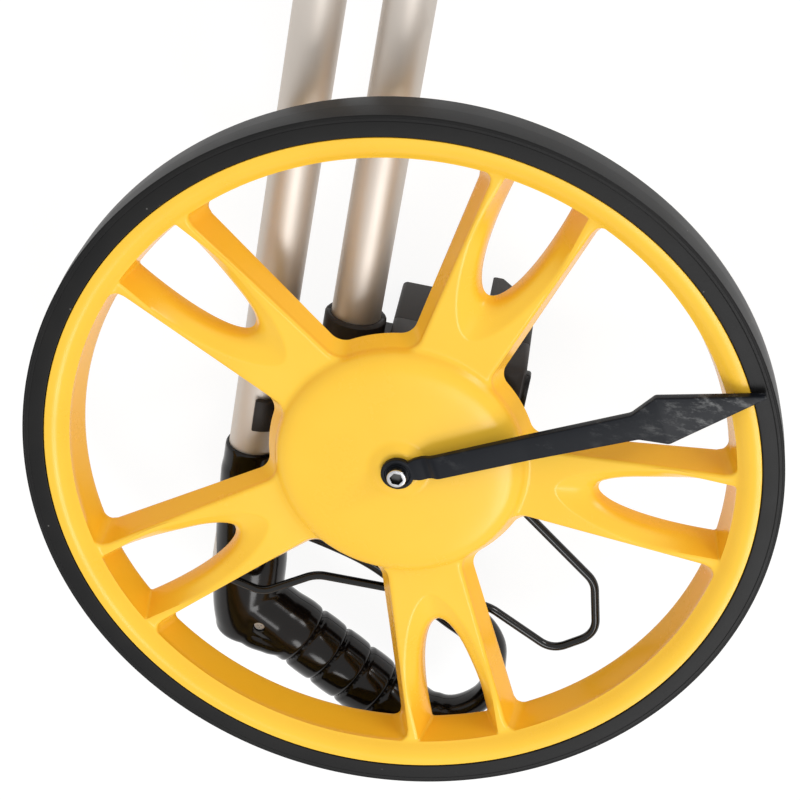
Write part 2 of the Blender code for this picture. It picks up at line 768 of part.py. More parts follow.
def tapered_cell(name, outline, bottom, top):
    """A hollow that narrows about its own middle as it goes in."""
    middle_x = sum(x for x, y in outline) / len(outline)
    middle_y = sum(y for x, y in outline) / len(outline)
    deep = []
    for x, y in outline:
        deep.append((
            middle_x + (x - middle_x) * CELL_DRAFT_SHARE,
            middle_y + (y - middle_y) * CELL_DRAFT_SHARE,
        ))
    return lofted(name, [
        [(x, y, bottom - OVERRUN) for x, y in outline],
        [(x, y, bottom) for x, y in outline],
        [(x, y, top) for x, y in deep],
    ])


def hub_cells():
    """Hollows behind the domed hub, parted by radial ribs."""
    cells = []
    step = math.tau / HUB_CELL_COUNT
    dome_edge = TYRE_FRONT_Z - WEB_DROP_HUB
    top = dome_edge - HUB_CELL_FLOOR + (WEB_DROP_HUB - HUB_FACE_DROP) / 2
    for index in range(HUB_CELL_COUNT):
        outline = []
        inner_half = step / 2 - RIB_WIDTH / 2 / HUB_CELL_INNER
        outer_half = step / 2 - RIB_WIDTH / 2 / HUB_CELL_OUTER
        outline += arc((0.0, 0.0), HUB_CELL_INNER, inner_half, -inner_half, HUB_STEPS // 2)
        outline += arc((0.0, 0.0), HUB_CELL_OUTER, -outer_half, outer_half, HUB_STEPS)
        turned_by = SPOKE_ANGLE + math.degrees(step) * (index + 0.5)
        cells.append(tapered_cell("hub_cell", turned_points(outline, turned_by), WEB_BACK_Z, top))
    return cells


def spoke_cells():
    """Hollows behind each spoke's neck and behind its two branches."""
    cells = []
    step = 360.0 / SPOKE_COUNT
    branch_far = RIM_BACK_RADIUS - BRANCH_CELL_MARGIN
    for spoke in range(SPOKE_COUNT):
        at = SPOKE_ANGLE + step * spoke
        neck = [
            (NECK_CELL_NEAR, -NECK_CELL_HALF),
            (NECK_CELL_FAR, -NECK_CELL_HALF),
            (NECK_CELL_FAR, NECK_CELL_HALF),
            (NECK_CELL_NEAR, NECK_CELL_HALF),
        ]
        top = TYRE_FRONT_Z - WEB_DROP_HUB - NECK_CELL_FLOOR
        cells.append(tapered_cell("neck_cell", turned_points(neck, at), WEB_BACK_Z, top))
        for side in (1, -1):
            branch = []
            for along, half in (
                (BRANCH_CELL_NEAR, -BRANCH_CELL_HALF / 2),
                (branch_far, -BRANCH_CELL_HALF),
                (branch_far, BRANCH_CELL_HALF),
                (BRANCH_CELL_NEAR, BRANCH_CELL_HALF / 2),
            ):
                branch.append((along, side * (branch_middle(along) + half)))
            top = web_height(BRANCH_CELL_NEAR) - BRANCH_CELL_FLOOR
            cells.append(tapered_cell("branch_cell", turned_points(branch, at), WEB_BACK_Z, top))
    return cells


def branch_middle(along):
    """Middle of a branch's back face at a radius."""
    end = rim_wall_radius(WEB_BACK_Z) - WINDOW_FILLET
    place = (along - WINDOW_BACK_TIP) / (end - WINDOW_BACK_TIP)
    window = WINDOW_BACK_HALF * (1 - (1 - place) ** 2) ** WINDOW_BACK_POWER_SHARE
    return (window + spoke_half(along, 0.0)) / 2


def make_bush(name, bottom):
    return ring(name, AXLE_RADIUS + CLEARANCE, AXLE_RADIUS + CLEARANCE + BUSH_WALL,
                bottom, bottom + BUSH_LENGTH)


# Gears


def involute_outline(teeth, turn):
    """Outline of a spur gear with involute flanks, thinned for backlash."""
    pitch = GEAR_MODULE * teeth / 2
    base = pitch * math.cos(math.radians(PRESSURE_ANGLE))
    tip = pitch + GEAR_MODULE * ADDENDUM_SHARE
    root = pitch - GEAR_MODULE * DEDENDUM_SHARE
    start = max(base, root)
    half_pitch = math.pi / 2 / teeth * (1 - BACKLASH_SHARE)

    def roll(radius):
        ratio = math.sqrt(max((radius / base) ** 2 - 1, 0.0))
        return ratio - math.atan(ratio)

    points = []
    for tooth in range(teeth):
        middle = turn + math.tau * tooth / teeth
        flank = []
        for step in range(FLANK_STEPS + 1):
            radius = start + (tip - start) * step / FLANK_STEPS
            half = half_pitch + roll(pitch) - roll(radius)
            flank.append((radius, half))
        if root < start:
            flank.insert(0, (root, flank[0][1]))
        for radius, half in flank:
            points.append((radius * math.cos(middle - half), radius * math.sin(middle - half)))
        for radius, half in reversed(flank):
            points.append((radius * math.cos(middle + half), radius * math.sin(middle + half)))
    return points


def meshing_turn(own_teeth, own_turn, own_centre, other_teeth, other_centre):
    """Turn of the other gear that sets a gap of its teeth where this gear has a tooth."""
    toward = math.atan2(other_centre[1] - own_centre[1], other_centre[0] - own_centre[0])
    own_phase = (toward - own_turn) / (math.tau / own_teeth)
    return toward + math.pi - (0.5 - own_phase) * (math.tau / other_teeth)


def placed_outline(outline, centre):
    return [(x + centre[0], y + centre[1]) for x, y in outline]


def drum_centre():
    """Axis of the number drums, just below the window in the housing's top."""
    return DRUM_AT_X, HOUSING_TOP - HOUSING_WALL - DRUM_WINDOW_GAP - DRUM_RADIUS


def idler_centre():
    """Axis of the idler that bridges from the axle to the drums, set to one side."""
    drum = Vector(drum_centre())
    reach = GEAR_MODULE * (DRIVE_TEETH + IDLER_TEETH) / 2
    aside = math.sqrt(reach ** 2 - drum.length ** 2 / 4)
    place = drum / 2 + Vector((drum.y, -drum.x)).normalized() * aside
    return place.x, place.y


def gear_turns():
    """Turn of each gear of the train, from the drive gear to the drum gear."""
    idler = idler_centre()
    idler_turn = meshing_turn(DRIVE_TEETH, 0.0, (0.0, 0.0), IDLER_TEETH, idler)
    drum_turn = meshing_turn(IDLER_TEETH, idler_turn, idler, DRIVE_TEETH, drum_centre())
    return idler_turn, drum_turn


def make_drive_gear():
    """Gear on a sleeve that ends in a six-sided plug, let into the wheel's back."""
    gear = prism("drive_gear", involute_outline(DRIVE_TEETH, 0.0), GEAR_BOTTOM_Z, GEAR_TOP_Z)
    fused(gear, cylinder("neck", AXLE_RADIUS + GEAR_NECK_WALL, GEAR_TOP_Z - GEAR_THICKNESS / 2,
                         HOUSING_DEPTH))
    fused(gear, cylinder("sleeve", SLEEVE_RADIUS, INNER_FRONT_Z, HUB_BACK_Z - CLEARANCE))
    fused(gear, cylinder("plug", SLEEVE_RADIUS, HUB_BACK_Z - DRIVE_PLUG,
                         HUB_BACK_Z + DRIVE_PLUG, segments=HEX_SIDES))
    cut(gear, cylinder("bore", AXLE_RADIUS + CLEARANCE, GEAR_BOTTOM_Z - OVERRUN,
                       HUB_BACK_Z + DRIVE_PLUG + OVERRUN))
    return tidied(gear)


def make_idler():
    centre = idler_centre()
    outline = placed_outline(involute_outline(IDLER_TEETH, gear_turns()[0]), centre)
    gear = prism("idler_gear", outline, GEAR_BOTTOM_Z, GEAR_TOP_Z)
    fused(gear, cylinder("boss", IDLER_BOSS_RADIUS, GEAR_BOTTOM_Z - OVERRUN,
                         (GEAR_BOTTOM_Z + GEAR_TOP_Z) / 2, centre))
    cut(gear, cylinder("bore", IDLER_PIN_RADIUS + CLEARANCE, GEAR_BOTTOM_Z - 2 * OVERRUN,
                       GEAR_TOP_Z + OVERRUN, centre))
    return tidied(gear)


def make_drum_gear():
    centre = drum_centre()
    outline = placed_outline(involute_outline(DRIVE_TEETH, gear_turns()[1]), centre)
    gear = prism("drum_gear", outline, GEAR_BOTTOM_Z, GEAR_TOP_Z)
    return cut(gear, cylinder("bore", DRUM_SHAFT_RADIUS + CLEARANCE, GEAR_BOTTOM_Z - OVERRUN,
                              GEAR_TOP_Z + OVERRUN, centre))


def drum_bottom(index):
    """Height of a drum's lower side, counted down from the gears."""
    return GEAR_BOTTOM_Z - (DRUM_WIDTH + CLEARANCE) * (index + 1)


def make_drum(index):
    centre = drum_centre()
    bottom = drum_bottom(index)
    top = bottom + DRUM_WIDTH
    name = "number_drum_" + str(index + 1)
    bore = DRUM_SHAFT_RADIUS + CLEARANCE
    return ring(name, bore, DRUM_RADIUS, bottom, top, centre)


def pinion_centre():
    x, y = drum_centre()
    return (x - (DRUM_RADIUS + PINION_RADIUS + CLEARANCE), y)


def make_pinion(index):
    """Star pinion that carries each full turn of one drum on to the next."""
    centre = pinion_centre()
    outline = []
    for tooth in range(PINION_TEETH):
        for radius, share in ((PINION_RADIUS, 0.0), (PINION_ROOT_RADIUS, 0.5)):
            angle = math.tau * (tooth + share) / PINION_TEETH
            outline.append((centre[0] + radius * math.cos(angle), centre[1] + radius * math.sin(angle)))
    middle = drum_bottom(index) - CLEARANCE / 2
    name = "carry_pinion_" + str(index + 1)
    pinion = prism(name, outline, middle - PINION_LENGTH / 2, middle + PINION_LENGTH / 2)
    return cut(pinion, cylinder("bore", PINION_SHAFT_RADIUS + CLEARANCE / 2,
                                middle - PINION_LENGTH, middle + PINION_LENGTH, centre,
                                SCREW_SEGMENTS))


def make_shaft(name, radius, centre):
    return cylinder(name, radius, INNER_BACK_Z + CLEARANCE, INNER_FRONT_Z - CLEARANCE, centre,
                    POST_SEGMENTS)


# Axle, bolt and pointer


def make_axle():
    bottom = INNER_BACK_Z + CLEARANCE
    shoulder_top = GEAR_BOTTOM_Z - CLEARANCE
    profile = [
        (0.0, bottom),
        (AXLE_FLANGE_RADIUS, bottom),
        (AXLE_FLANGE_RADIUS, bottom + AXLE_FLANGE),
        (AXLE_RADIUS, bottom + AXLE_FLANGE),
        (AXLE_RADIUS, shoulder_top - AXLE_SHOULDER),
        (AXLE_SHOULDER_RADIUS, shoulder_top - AXLE_SHOULDER),
        (AXLE_SHOULDER_RADIUS, shoulder_top),
        (AXLE_RADIUS, shoulder_top),
        (AXLE_RADIUS, AXLE_TOP_Z),
        (BOLT_SHANK_RADIUS + CLEARANCE, AXLE_TOP_Z),
        (BOLT_SHANK_RADIUS + CLEARANCE, bolt_bottom() - CLEARANCE),
        (0.0, bolt_bottom() - CLEARANCE),
    ]
    return turned("axle", profile, SMALL_SEGMENTS)


def bolt_bottom():
    return POINTER_BOSS_Z + POINTER_BOSS + CLEARANCE - BOLT_SHANK


def make_bolt():
    """Socket-head bolt that closes the front of the axle over the pointer."""
    head = POINTER_BOSS_Z + POINTER_BOSS + CLEARANCE
    profile = [
        (0.0, bolt_bottom()),
        (BOLT_SHANK_RADIUS, bolt_bottom()),
        (BOLT_SHANK_RADIUS, head),
        (BOLT_HEAD_RADIUS, head),
        (BOLT_HEAD_RADIUS, head + BOLT_HEAD - BOLT_EDGE),
        (BOLT_HEAD_RADIUS - BOLT_EDGE, head + BOLT_HEAD),
        (0.0, head + BOLT_HEAD),
    ]
    bolt = turned("axle_bolt", profile, SMALL_SEGMENTS)
    return cut(bolt, cylinder("socket", BOLT_SOCKET_RADIUS, head + BOLT_HEAD - BOLT_SOCKET_DEPTH,
                              head + BOLT_HEAD + OVERRUN, segments=HEX_SIDES))


def make_pointer():
    """Arrow with a joggled arm that climbs from its boss over the rim's front."""
    boss_front = POINTER_BOSS_Z + POINTER_BOSS
    lifted = TYRE_FRONT_Z + POINTER_LIFT
    fronts = (
        boss_front, boss_front, boss_front + POINTER_BOSS,
        lifted - 2 * POINTER_RISE, lifted, lifted, lifted,
    )
    backs = (
        POINTER_BOSS_Z, POINTER_BOSS_Z, fronts[2] - POINTER_BOSS,
        fronts[3] - POINTER_THICKNESS, lifted - POINTER_THICKNESS,
        lifted - POINTER_THICKNESS, lifted - POINTER_THICKNESS,
    )
    halves = (
        POINTER_ROOT_HALF, POINTER_ROOT_HALF, POINTER_ROOT_HALF, POINTER_NECK_HALF,
        POINTER_NECK_HALF + POINTER_EDGE, POINTER_SHOULDER_HALF, POINTER_TIP_HALF,
    )
    loops = []
    for share, half, back, front in zip(POINTER_STATION_SHARES, halves, backs, fronts):
        x = POINTER_REACH * share
        rim = half - min(POINTER_EDGE, half / 2)
        loops.append([
            (x, -half, back), (x, half, back), (x, half, front - POINTER_EDGE),
            (x, rim, front), (x, -rim, front), (x, -half, front - POINTER_EDGE),
        ])
    pointer = lofted("pointer", loops)
    fused(pointer, cylinder("boss", POINTER_BOSS_RADIUS, POINTER_BOSS_Z - CLEARANCE / 3,
                            boss_front + CLEARANCE, segments=TUBE_SEGMENTS, edge=CLEARANCE))
    cut(pointer, cylinder("bore", BOLT_SHANK_RADIUS + CLEARANCE, POINTER_BOSS_Z - OVERRUN,
                          boss_front + OVERRUN))
    cut(pointer, cylinder("seat", BOLT_HEAD_RADIUS + CLEARANCE, boss_front, boss_front + OVERRUN))
    pointer.data.transform(Matrix.Rotation(math.radians(POINTER_ANGLE), 4, "Z"))
    return tidied(pointer)


# Counter housing


def housing_corners():
    return [
        (HOUSING_LEFT, HOUSING_BOTTOM, CORNER_BOTTOM_LEFT),
        (HOUSING_RIGHT, HOUSING_BOTTOM, CORNER_BOTTOM_RIGHT),
        (HOUSING_RIGHT, HOUSING_TOP, CORNER_TOP),
        (HOUSING_LEFT, HOUSING_TOP, CORNER_TOP),
    ]


def hood_block(name, inset, bottom, top):
    """The raised hood in plan, seen along Y, with its back corner cut away."""
    corners = [
        (HOOD_LEFT, 0.0, CORNER_SMALL),
        (HOOD_CHAMFER_FROM, 0.0, CORNER_SMALL),
        (HOOD_RIGHT, HOOD_CHAMFER_RISE, CORNER_SMALL),
        (HOOD_RIGHT, HOOD_DEPTH, CORNER_SMALL),
        (HOOD_LEFT, HOOD_DEPTH, CORNER_SMALL),
    ]
    if inset:
        corners = inset_corners(corners, inset)
    outline = rounded_outline(corners, 2)
    return lofted(name, [[(x, y, z) for x, z in outline] for y in (bottom, top)])


def post_places():
    """Middles of the four posts; the last one leaves room for the reset button's flange."""
    return [
        (HOUSING_LEFT + POST_INSET, HOUSING_TOP - POST_INSET),
        (HOUSING_LEFT + POST_CORNER_INSET, HOUSING_BOTTOM + POST_CORNER_INSET),
        (HOUSING_RIGHT - POST_CORNER_INSET, HOUSING_BOTTOM + POST_CORNER_INSET),
        (HOUSING_RIGHT - POST_BUTTON_INSET, HOUSING_TOP - POST_INSET),
    ]


def housing_body(name):
    """The closed housing with its socket, before it is parted into shells."""
    corners = housing_corners()
    outer = rounded_outline(corners)
    edge = rounded_outline(inset_corners(corners, HOUSING_EDGE))
    soft = rounded_outline(inset_corners(corners, HOUSING_FRONT_EDGE / 3))
    face = rounded_outline(inset_corners(corners, HOUSING_FRONT_EDGE))
    body = lofted(name, [
        [(x, y, 0.0) for x, y in edge],
        [(x, y, HOUSING_EDGE) for x, y in outer],
        [(x, y, HOUSING_DEPTH - HOUSING_FRONT_EDGE) for x, y in outer],
        [(x, y, HOUSING_DEPTH - HOUSING_FRONT_EDGE / 3) for x, y in soft],
        [(x, y, HOUSING_DEPTH) for x, y in face],
    ])
    fused(body, hood_block("hood", 0.0, HOUSING_TOP - CORNER_TOP, HOOD_TOP))
    socket = cylinder("socket", SOCKET_RADIUS, SOCKET_BOTTOM, SOCKET_TOP,
                      segments=TUBE_SEGMENTS, edge=HOUSING_EDGE)
    along_y(socket, LOWER_TUBE_X, TUBE_HEIGHT)
    web = box("web",
              (LOWER_TUBE_X, SOCKET_BOTTOM + HOUSING_EDGE, TUBE_HEIGHT - SOCKET_WEB_HALF),
              (HOUSING_LEFT + HOUSING_WALL / 2, SOCKET_WEB_TOP, TUBE_HEIGHT + SOCKET_WEB_HALF))
    leg_low = SOCKET_BOTTOM + 2 * HOUSING_EDGE
    leg = box("leg", (LEG_LEFT, leg_low, 0.0),
              (HOUSING_LEFT + HOUSING_EDGE, LEG_TOP, TUBE_HEIGHT - SOCKET_WEB_HALF / 2))
    fused(body, socket, web, leg)
    cut(body, box("leg_hollow", (LEG_LEFT + LEG_WALL, leg_low + LEG_WALL, -OVERRUN),
                  (HOUSING_LEFT - LEG_WALL / 2, LEG_TOP - LEG_WALL,
                   TUBE_HEIGHT - SOCKET_RADIUS - LEG_WALL)))
    cavity = rounded_outline(inset_corners(corners, HOUSING_FRONT_EDGE))
    wider = rounded_outline(inset_corners(corners, HOUSING_WALL))
    cut(body, lofted("cavity", [
        [(x, y, INNER_BACK_Z) for x, y in wider],
        [(x, y, INNER_FRONT_Z - HOUSING_WALL) for x, y in wider],
        [(x, y, INNER_FRONT_Z) for x, y in cavity],
    ]))
    cut(body, hood_block("hood_hollow", HOUSING_WALL, HOUSING_TOP - 2 * HOUSING_WALL,
                         HOOD_TOP - HOUSING_WALL))
    for place in post_places():
        fused(body, cylinder("post", POST_RADIUS, INNER_BACK_Z / 2,
                             INNER_FRONT_Z + HOUSING_WALL / 2, place, POST_SEGMENTS))
    fused(body, cylinder("axle_boss", AXLE_FLANGE_RADIUS + HOUSING_WALL, INNER_BACK_Z / 2,
                         TUBE_HEIGHT - OVERRUN))
    fused(body, cylinder("stand_ear", STAND_BOSS_RADIUS, STAND_EAR_BOTTOM, STAND_EAR_TOP,
                         (STAND_PIVOT_X, STAND_PIVOT_Y)))
    fused(body, box("ear_web",
                    (HOUSING_RIGHT - HOUSING_WALL / 2, STAND_PIVOT_Y - STAND_BOSS_RADIUS,
                     STAND_EAR_BOTTOM + CLEARANCE),
                    (STAND_PIVOT_X, STAND_PIVOT_Y + STAND_EAR_ROOT, STAND_EAR_TOP - CLEARANCE)))
    return body


def housing_cuts(body):
    """Bores, window, button slot and screw holes shared by both shells."""
    bore = cylinder("tube_bore", TUBE_RADIUS + CLEARANCE, LOWER_TUBE_BOTTOM - CLEARANCE,
                    SOCKET_TOP + OVERRUN, segments=TUBE_SEGMENTS)
    cut(body, along_y(bore, LOWER_TUBE_X, TUBE_HEIGHT))
    flange_top = INNER_BACK_Z + AXLE_FLANGE + 2 * CLEARANCE
    cut(body, cylinder("flange_room", AXLE_FLANGE_RADIUS + CLEARANCE, INNER_BACK_Z, flange_top))
    cut(body, cylinder("axle_bore", AXLE_RADIUS + CLEARANCE, INNER_BACK_Z, TUBE_HEIGHT))
    cut(body, cylinder("sleeve_bore", SLEEVE_RADIUS + CLEARANCE, INNER_FRONT_Z - OVERRUN,
                       HOUSING_DEPTH + OVERRUN))
    cut(body, cylinder("stand_bore", WIRE_RADIUS + CLEARANCE, WIRE_LEG_END - CLEARANCE,
                       HOUSING_DEPTH + OVERRUN, (STAND_PIVOT_X, STAND_PIVOT_Y)))
    cut(body, lens_block("window", CLEARANCE, OVERRUN))
    cut(body, box("slot",
                  (HOUSING_RIGHT - 2 * HOUSING_WALL, BUTTON_BOTTOM - CLEARANCE,
                   BUTTON_HEIGHT - BUTTON_HALF_DEPTH - CLEARANCE),
                  (HOUSING_RIGHT + OVERRUN, BUTTON_TOP + CLEARANCE,
                   BUTTON_HEIGHT + BUTTON_HALF_DEPTH + CLEARANCE)))
    for place in post_places():
        cut(body, cylinder("screw_bore", SCREW_SHANK_RADIUS + CLEARANCE, -OVERRUN,
                           SCREW_LENGTH + CLEARANCE, place, SCREW_SEGMENTS))
        cut(body, cylinder("screw_seat", SCREW_HEAD_RADIUS + CLEARANCE, -OVERRUN,
                           SCREW_SINK + SCREW_HEAD, place, POST_SEGMENTS))
    return body


def half_space(name, low, high):
    reach = TYRE_RADIUS
    return box(name, (-reach, -reach, low), (reach, reach, high))


def make_housing_front():
    body = housing_cuts(housing_body("housing_front"))
    cut(body, half_space("below", -OVERRUN, TUBE_HEIGHT + SPLIT_GAP / 2))
    return tidied(body)


def make_housing_rear():
    body = housing_cuts(housing_body("housing_rear"))
    cut(body, half_space("above", TUBE_HEIGHT - SPLIT_GAP / 2, HOUSING_DEPTH + OVERRUN))
    return tidied(body)


def lens_block(name, grow, proud):
    """Block in the top wall, the size of the window grown by a clearance."""
    half = LENS_HALF_WIDTH + grow
    bottom = drum_bottom(DRUM_COUNT - 1) + LENS_MARGIN
    top = GEAR_BOTTOM_Z - LENS_MARGIN
    return box(name,
               (DRUM_AT_X - half, HOUSING_TOP - HOUSING_WALL - 2 * grow, bottom - grow),
               (DRUM_AT_X + half, HOUSING_TOP + proud, top + grow))


def make_reset_button():
    """Button plate in the side slot, with a wider flange behind the wall."""
    inside = HOUSING_RIGHT - HOUSING_WALL - 2 * CLEARANCE
    low = BUTTON_HEIGHT - BUTTON_HALF_DEPTH
    high = BUTTON_HEIGHT + BUTTON_HALF_DEPTH
    plate = [
        (inside - BUTTON_FLANGE / 2, BUTTON_BOTTOM, CORNER_SMALL / 2),
        (HOUSING_RIGHT + BUTTON_PROUD, BUTTON_BOTTOM, CORNER_SMALL),
        (HOUSING_RIGHT + BUTTON_PROUD, BUTTON_TOP, CORNER_SMALL),
        (inside - BUTTON_FLANGE / 2, BUTTON_TOP, CORNER_SMALL / 2),
    ]
    button = prism("reset_button", rounded_outline(plate), low, high)
    flange = box("flange",
                 (inside - BUTTON_FLANGE, BUTTON_BOTTOM - BUTTON_FLANGE_LIP, low),
                 (inside, BUTTON_TOP + BUTTON_FLANGE_LIP, high))
    return tidied(fused(button, flange))


def slotted_screw(name, head_face, length, head_up):
    """Round-headed screw with a cross slot, pointing down from its head when head_up."""
    profile = [
        (0.0, 0.0),
        (SCREW_HEAD_RADIUS, 0.0),
        (SCREW_HEAD_RADIUS, SCREW_HEAD / 2),
        (SCREW_SHANK_RADIUS, SCREW_HEAD),
        (SCREW_SHANK_RADIUS, length),
        (0.0, length),
    ]
    screw = turned(name, profile, SCREW_SEGMENTS)
    for turn in (0.0, 90.0):
        slot = box("slot", (-SCREW_SHANK_RADIUS, -SCREW_SLOT_WIDTH / 2, -OVERRUN),
                   (SCREW_SHANK_RADIUS, SCREW_SLOT_WIDTH / 2, SCREW_SLOT_DEPTH))
        slot.data.transform(Matrix.Rotation(math.radians(turn), 4, "Z"))
        cut(screw, slot)
    turn = Matrix.Rotation(math.pi, 4, "X") if head_up else Matrix.Identity(4)
    screw.data.transform(Matrix.Translation(head_face) @ turn)
    return screw


def make_clip():
    """Open clip that cradles the folded upper tube, its mouth facing away from the housing."""
    inner = TUBE_RADIUS + CLEARANCE
    outer = inner + CLIP_WALL
    right = math.pi / 2
    outline = [(0.0, -inner)] + arc((0.0, 0.0), inner, -right, right, 10)[1:-1] + [(0.0, inner)]
    outline += [(-CLIP_ROUND / 4, inner + CLIP_WALL / 2), (0.0, outer)]
    outline += arc((0.0, 0.0), outer, right, -right, 12)[1:-1]
    outline += [(0.0, -outer), (-CLIP_ROUND / 4, -inner - CLIP_WALL / 2)]
    clip = prism("tube_clip", outline, CLIP_TOP - CLIP_LENGTH, CLIP_TOP)
    turn = Matrix(((1, 0, 0, 0), (0, 0, 1, 0), (0, 1, 0, 0), (0, 0, 0, 1)))
    clip.data.transform(Matrix.Translation((UPPER_TUBE_X, 0.0, TUBE_HEIGHT)) @ turn)
    clip.data.flip_normals()
    base = box("base",
               (UPPER_TUBE_X + outer - CLIP_WALL / 2, CLIP_TOP - CLIP_LENGTH, TUBE_HEIGHT - CLIP_BASE_HALF),
               (LOWER_TUBE_X, CLIP_TOP, TUBE_HEIGHT + CLIP_BASE_HALF))
    fused(clip, base)
    seat = cylinder("seat", SOCKET_RADIUS + CLEARANCE, SOCKET_BOTTOM - OVERRUN, SOCKET_TOP,
                    segments=TUBE_SEGMENTS)
    cut(clip, along_y(seat, LOWER_TUBE_X, TUBE_HEIGHT))
    return tidied(clip)


# Tubes and fold joint


def make_tube(name, x, bottom):
    tube = ring(name, TUBE_RADIUS - TUBE_WALL, TUBE_RADIUS, bottom, TUBE_TOP,
                segments=TUBE_SEGMENTS)
    return along_y(tube, x, TUBE_HEIGHT)


def fold_layers():
    """Height ranges of the two outer lugs and of the middle lug between them."""
    half = FOLD_COLLAR_RADIUS - CLEARANCE
    low = (TUBE_HEIGHT - half, TUBE_HEIGHT - half + LUG_LAYER)
    high = (TUBE_HEIGHT + half - LUG_LAYER, TUBE_HEIGHT + half)
    middle = (low[1] + CLEARANCE, high[0] - CLEARANCE)
    return [low, high], [middle]


def lug_outline(x):
    """A plate from a tube's axis to the fold pin, rounded about the pin."""
    reach = LUG_RADIUS
    dip = math.asin((SPLIT_GAP / 2 + CLEARANCE) / reach)
    bend = arc((0.0, 0.0), reach, -math.pi / 2, math.pi + dip, 20)
    end = OVERRUN - abs(FOLD_X - x)
    points = bend + [(end, -SPLIT_GAP / 2 - CLEARANCE), (end, -reach)]
    mirror = 1 if x < FOLD_X else -1
    return [(FOLD_X + mirror * along, FOLD_Y + up) for along, up in points]


def fold_bracket(name, x, own, others):
    """Collar with a plug in its tube and lugs round the fold pin."""
    top = FOLD_Y - SPLIT_GAP / 2
    plug = TUBE_RADIUS - TUBE_WALL - CLEARANCE
    shoulder = TUBE_TOP + CLEARANCE
    rim = FOLD_COLLAR_RADIUS - HOUSING_EDGE
    collar = along_y(turned(name, [
        (0.0, TUBE_TOP - FOLD_PLUG),
        (plug, TUBE_TOP - FOLD_PLUG),
        (plug, shoulder),
        (rim, shoulder),
        (FOLD_COLLAR_RADIUS, shoulder + HOUSING_EDGE),
        (FOLD_COLLAR_RADIUS, top - HOUSING_EDGE),
        (rim, top),
        (0.0, top),
    ], TUBE_SEGMENTS), x, TUBE_HEIGHT)
    margin = CLEARANCE * 3 / 2
    for low, high in others:
        room = LUG_RADIUS + 2 * CLEARANCE
        cut(collar, cylinder("room", room, low - margin, high + margin,
                             (FOLD_X, FOLD_Y), TUBE_SEGMENTS))
    for low, high in own:
        fused(collar, prism("lug", lug_outline(x), low, high))
    cut(collar, cylinder("pin_bore", FOLD_PIN_RADIUS + CLEARANCE, 0.0, 2 * TUBE_HEIGHT,
                         (FOLD_X, FOLD_Y)))
    return collar


def make_lower_bracket():
    outer, middle = fold_layers()
    bracket = fold_bracket("lower_fold_bracket", LOWER_TUBE_X, outer, middle)
    floor = lock_top() - LOCK_LENGTH - OVERRUN - LOCK_PROUD
    cut(bracket, cylinder("lock_bore", LOCK_RADIUS + CLEARANCE, floor,
                          TUBE_HEIGHT + FOLD_COLLAR_RADIUS + OVERRUN,
                          (LOWER_TUBE_X, FOLD_Y - LOCK_AT)))
    return tidied(bracket)


def make_upper_bracket():
    outer, middle = fold_layers()
    return tidied(fold_bracket("upper_fold_bracket", UPPER_TUBE_X, middle, outer))


def lock_top():
    return TUBE_HEIGHT + FOLD_COLLAR_RADIUS + LOCK_PROUD


def make_lock_button():
    return cylinder("fold_lock_button", LOCK_RADIUS, lock_top() - LOCK_LENGTH, lock_top(),
                    (LOWER_TUBE_X, FOLD_Y - LOCK_AT), edge=CORNER_SMALL / 2)


def make_fold_pin():
    half = FOLD_COLLAR_RADIUS
    head = TUBE_HEIGHT + half
    thread_end = TUBE_HEIGHT - half - FOLD_NUT_HEIGHT / 2
    profile = [
        (0.0, thread_end),
        (FOLD_PIN_RADIUS, thread_end),
        (FOLD_PIN_RADIUS, head),
        (FOLD_PIN_HEAD_RADIUS, head),
        (FOLD_PIN_HEAD_RADIUS, head + FOLD_PIN_HEAD / 2),
        (FOLD_PIN_HEAD_RADIUS / 2, head + FOLD_PIN_HEAD),
        (0.0, head + FOLD_PIN_HEAD),
    ]
    pin = turned("fold_pin", profile, SMALL_SEGMENTS)
    pin.data.transform(Matrix.Translation((FOLD_X, FOLD_Y, 0.0)))
    return pin


def make_fold_nut():
    """Closed nut on the fold pin."""
    top = TUBE_HEIGHT - FOLD_COLLAR_RADIUS
    nut = cylinder("fold_nut", FOLD_NUT_RADIUS, top - FOLD_NUT_HEIGHT, top, segments=HEX_SIDES)
    cut(nut, cylinder("thread", FOLD_PIN_RADIUS + CLEARANCE,
                      top - FOLD_NUT_HEIGHT / 2 - CLEARANCE, top + OVERRUN))
    nut.data.transform(Matrix.Translation((FOLD_X, FOLD_Y, 0.0)))
    return nut


# Kickstand


def rounded_route(points, radius, steps, ease=0.0):
    """A path through points with each inner corner bent to a radius, over at least the ease."""
    path = [Vector(points[0])]
    for before, here, after in zip(points, points[1:], points[2:]):
        here = Vector(here)
        incoming = (Vector(before) - here)
        outgoing = (Vector(after) - here)
        half = incoming.angle(outgoing) / 2
        reach = max(radius / math.tan(half), ease)
        reach = min(reach, incoming.length / 2, outgoing.length / 2)
        first = here + incoming.normalized() * reach
        last = here + outgoing.normalized() * reach
        for step in range(steps + 1):
            share = step / steps
            path.append(first * (1 - share) ** 2 + here * (2 * share * (1 - share)) + last * share ** 2)
    path.append(Vector(points[-1]))
    return path


def swept(name, path, sections):
    """A solid along a path: each section gives its points in the path's side and up axes."""
    loops = []
    up = Vector((0.0, 0.0, 1.0))
    first = (path[1] - path[0]).normalized()
    if abs(first.dot(up)) > UPRIGHT_SHARE:
        up = Vector((0.0, 1.0, 0.0))
    for index, place in enumerate(path):
        ahead = path[min(index + 1, len(path) - 1)] - path[max(index - 1, 0)]
        ahead.normalize()
        side = up.cross(ahead).normalized()
        up = ahead.cross(side).normalized()
        loops.append([place + side * across + up * rise for across, rise in sections[index]])
    return lofted(name, loops)


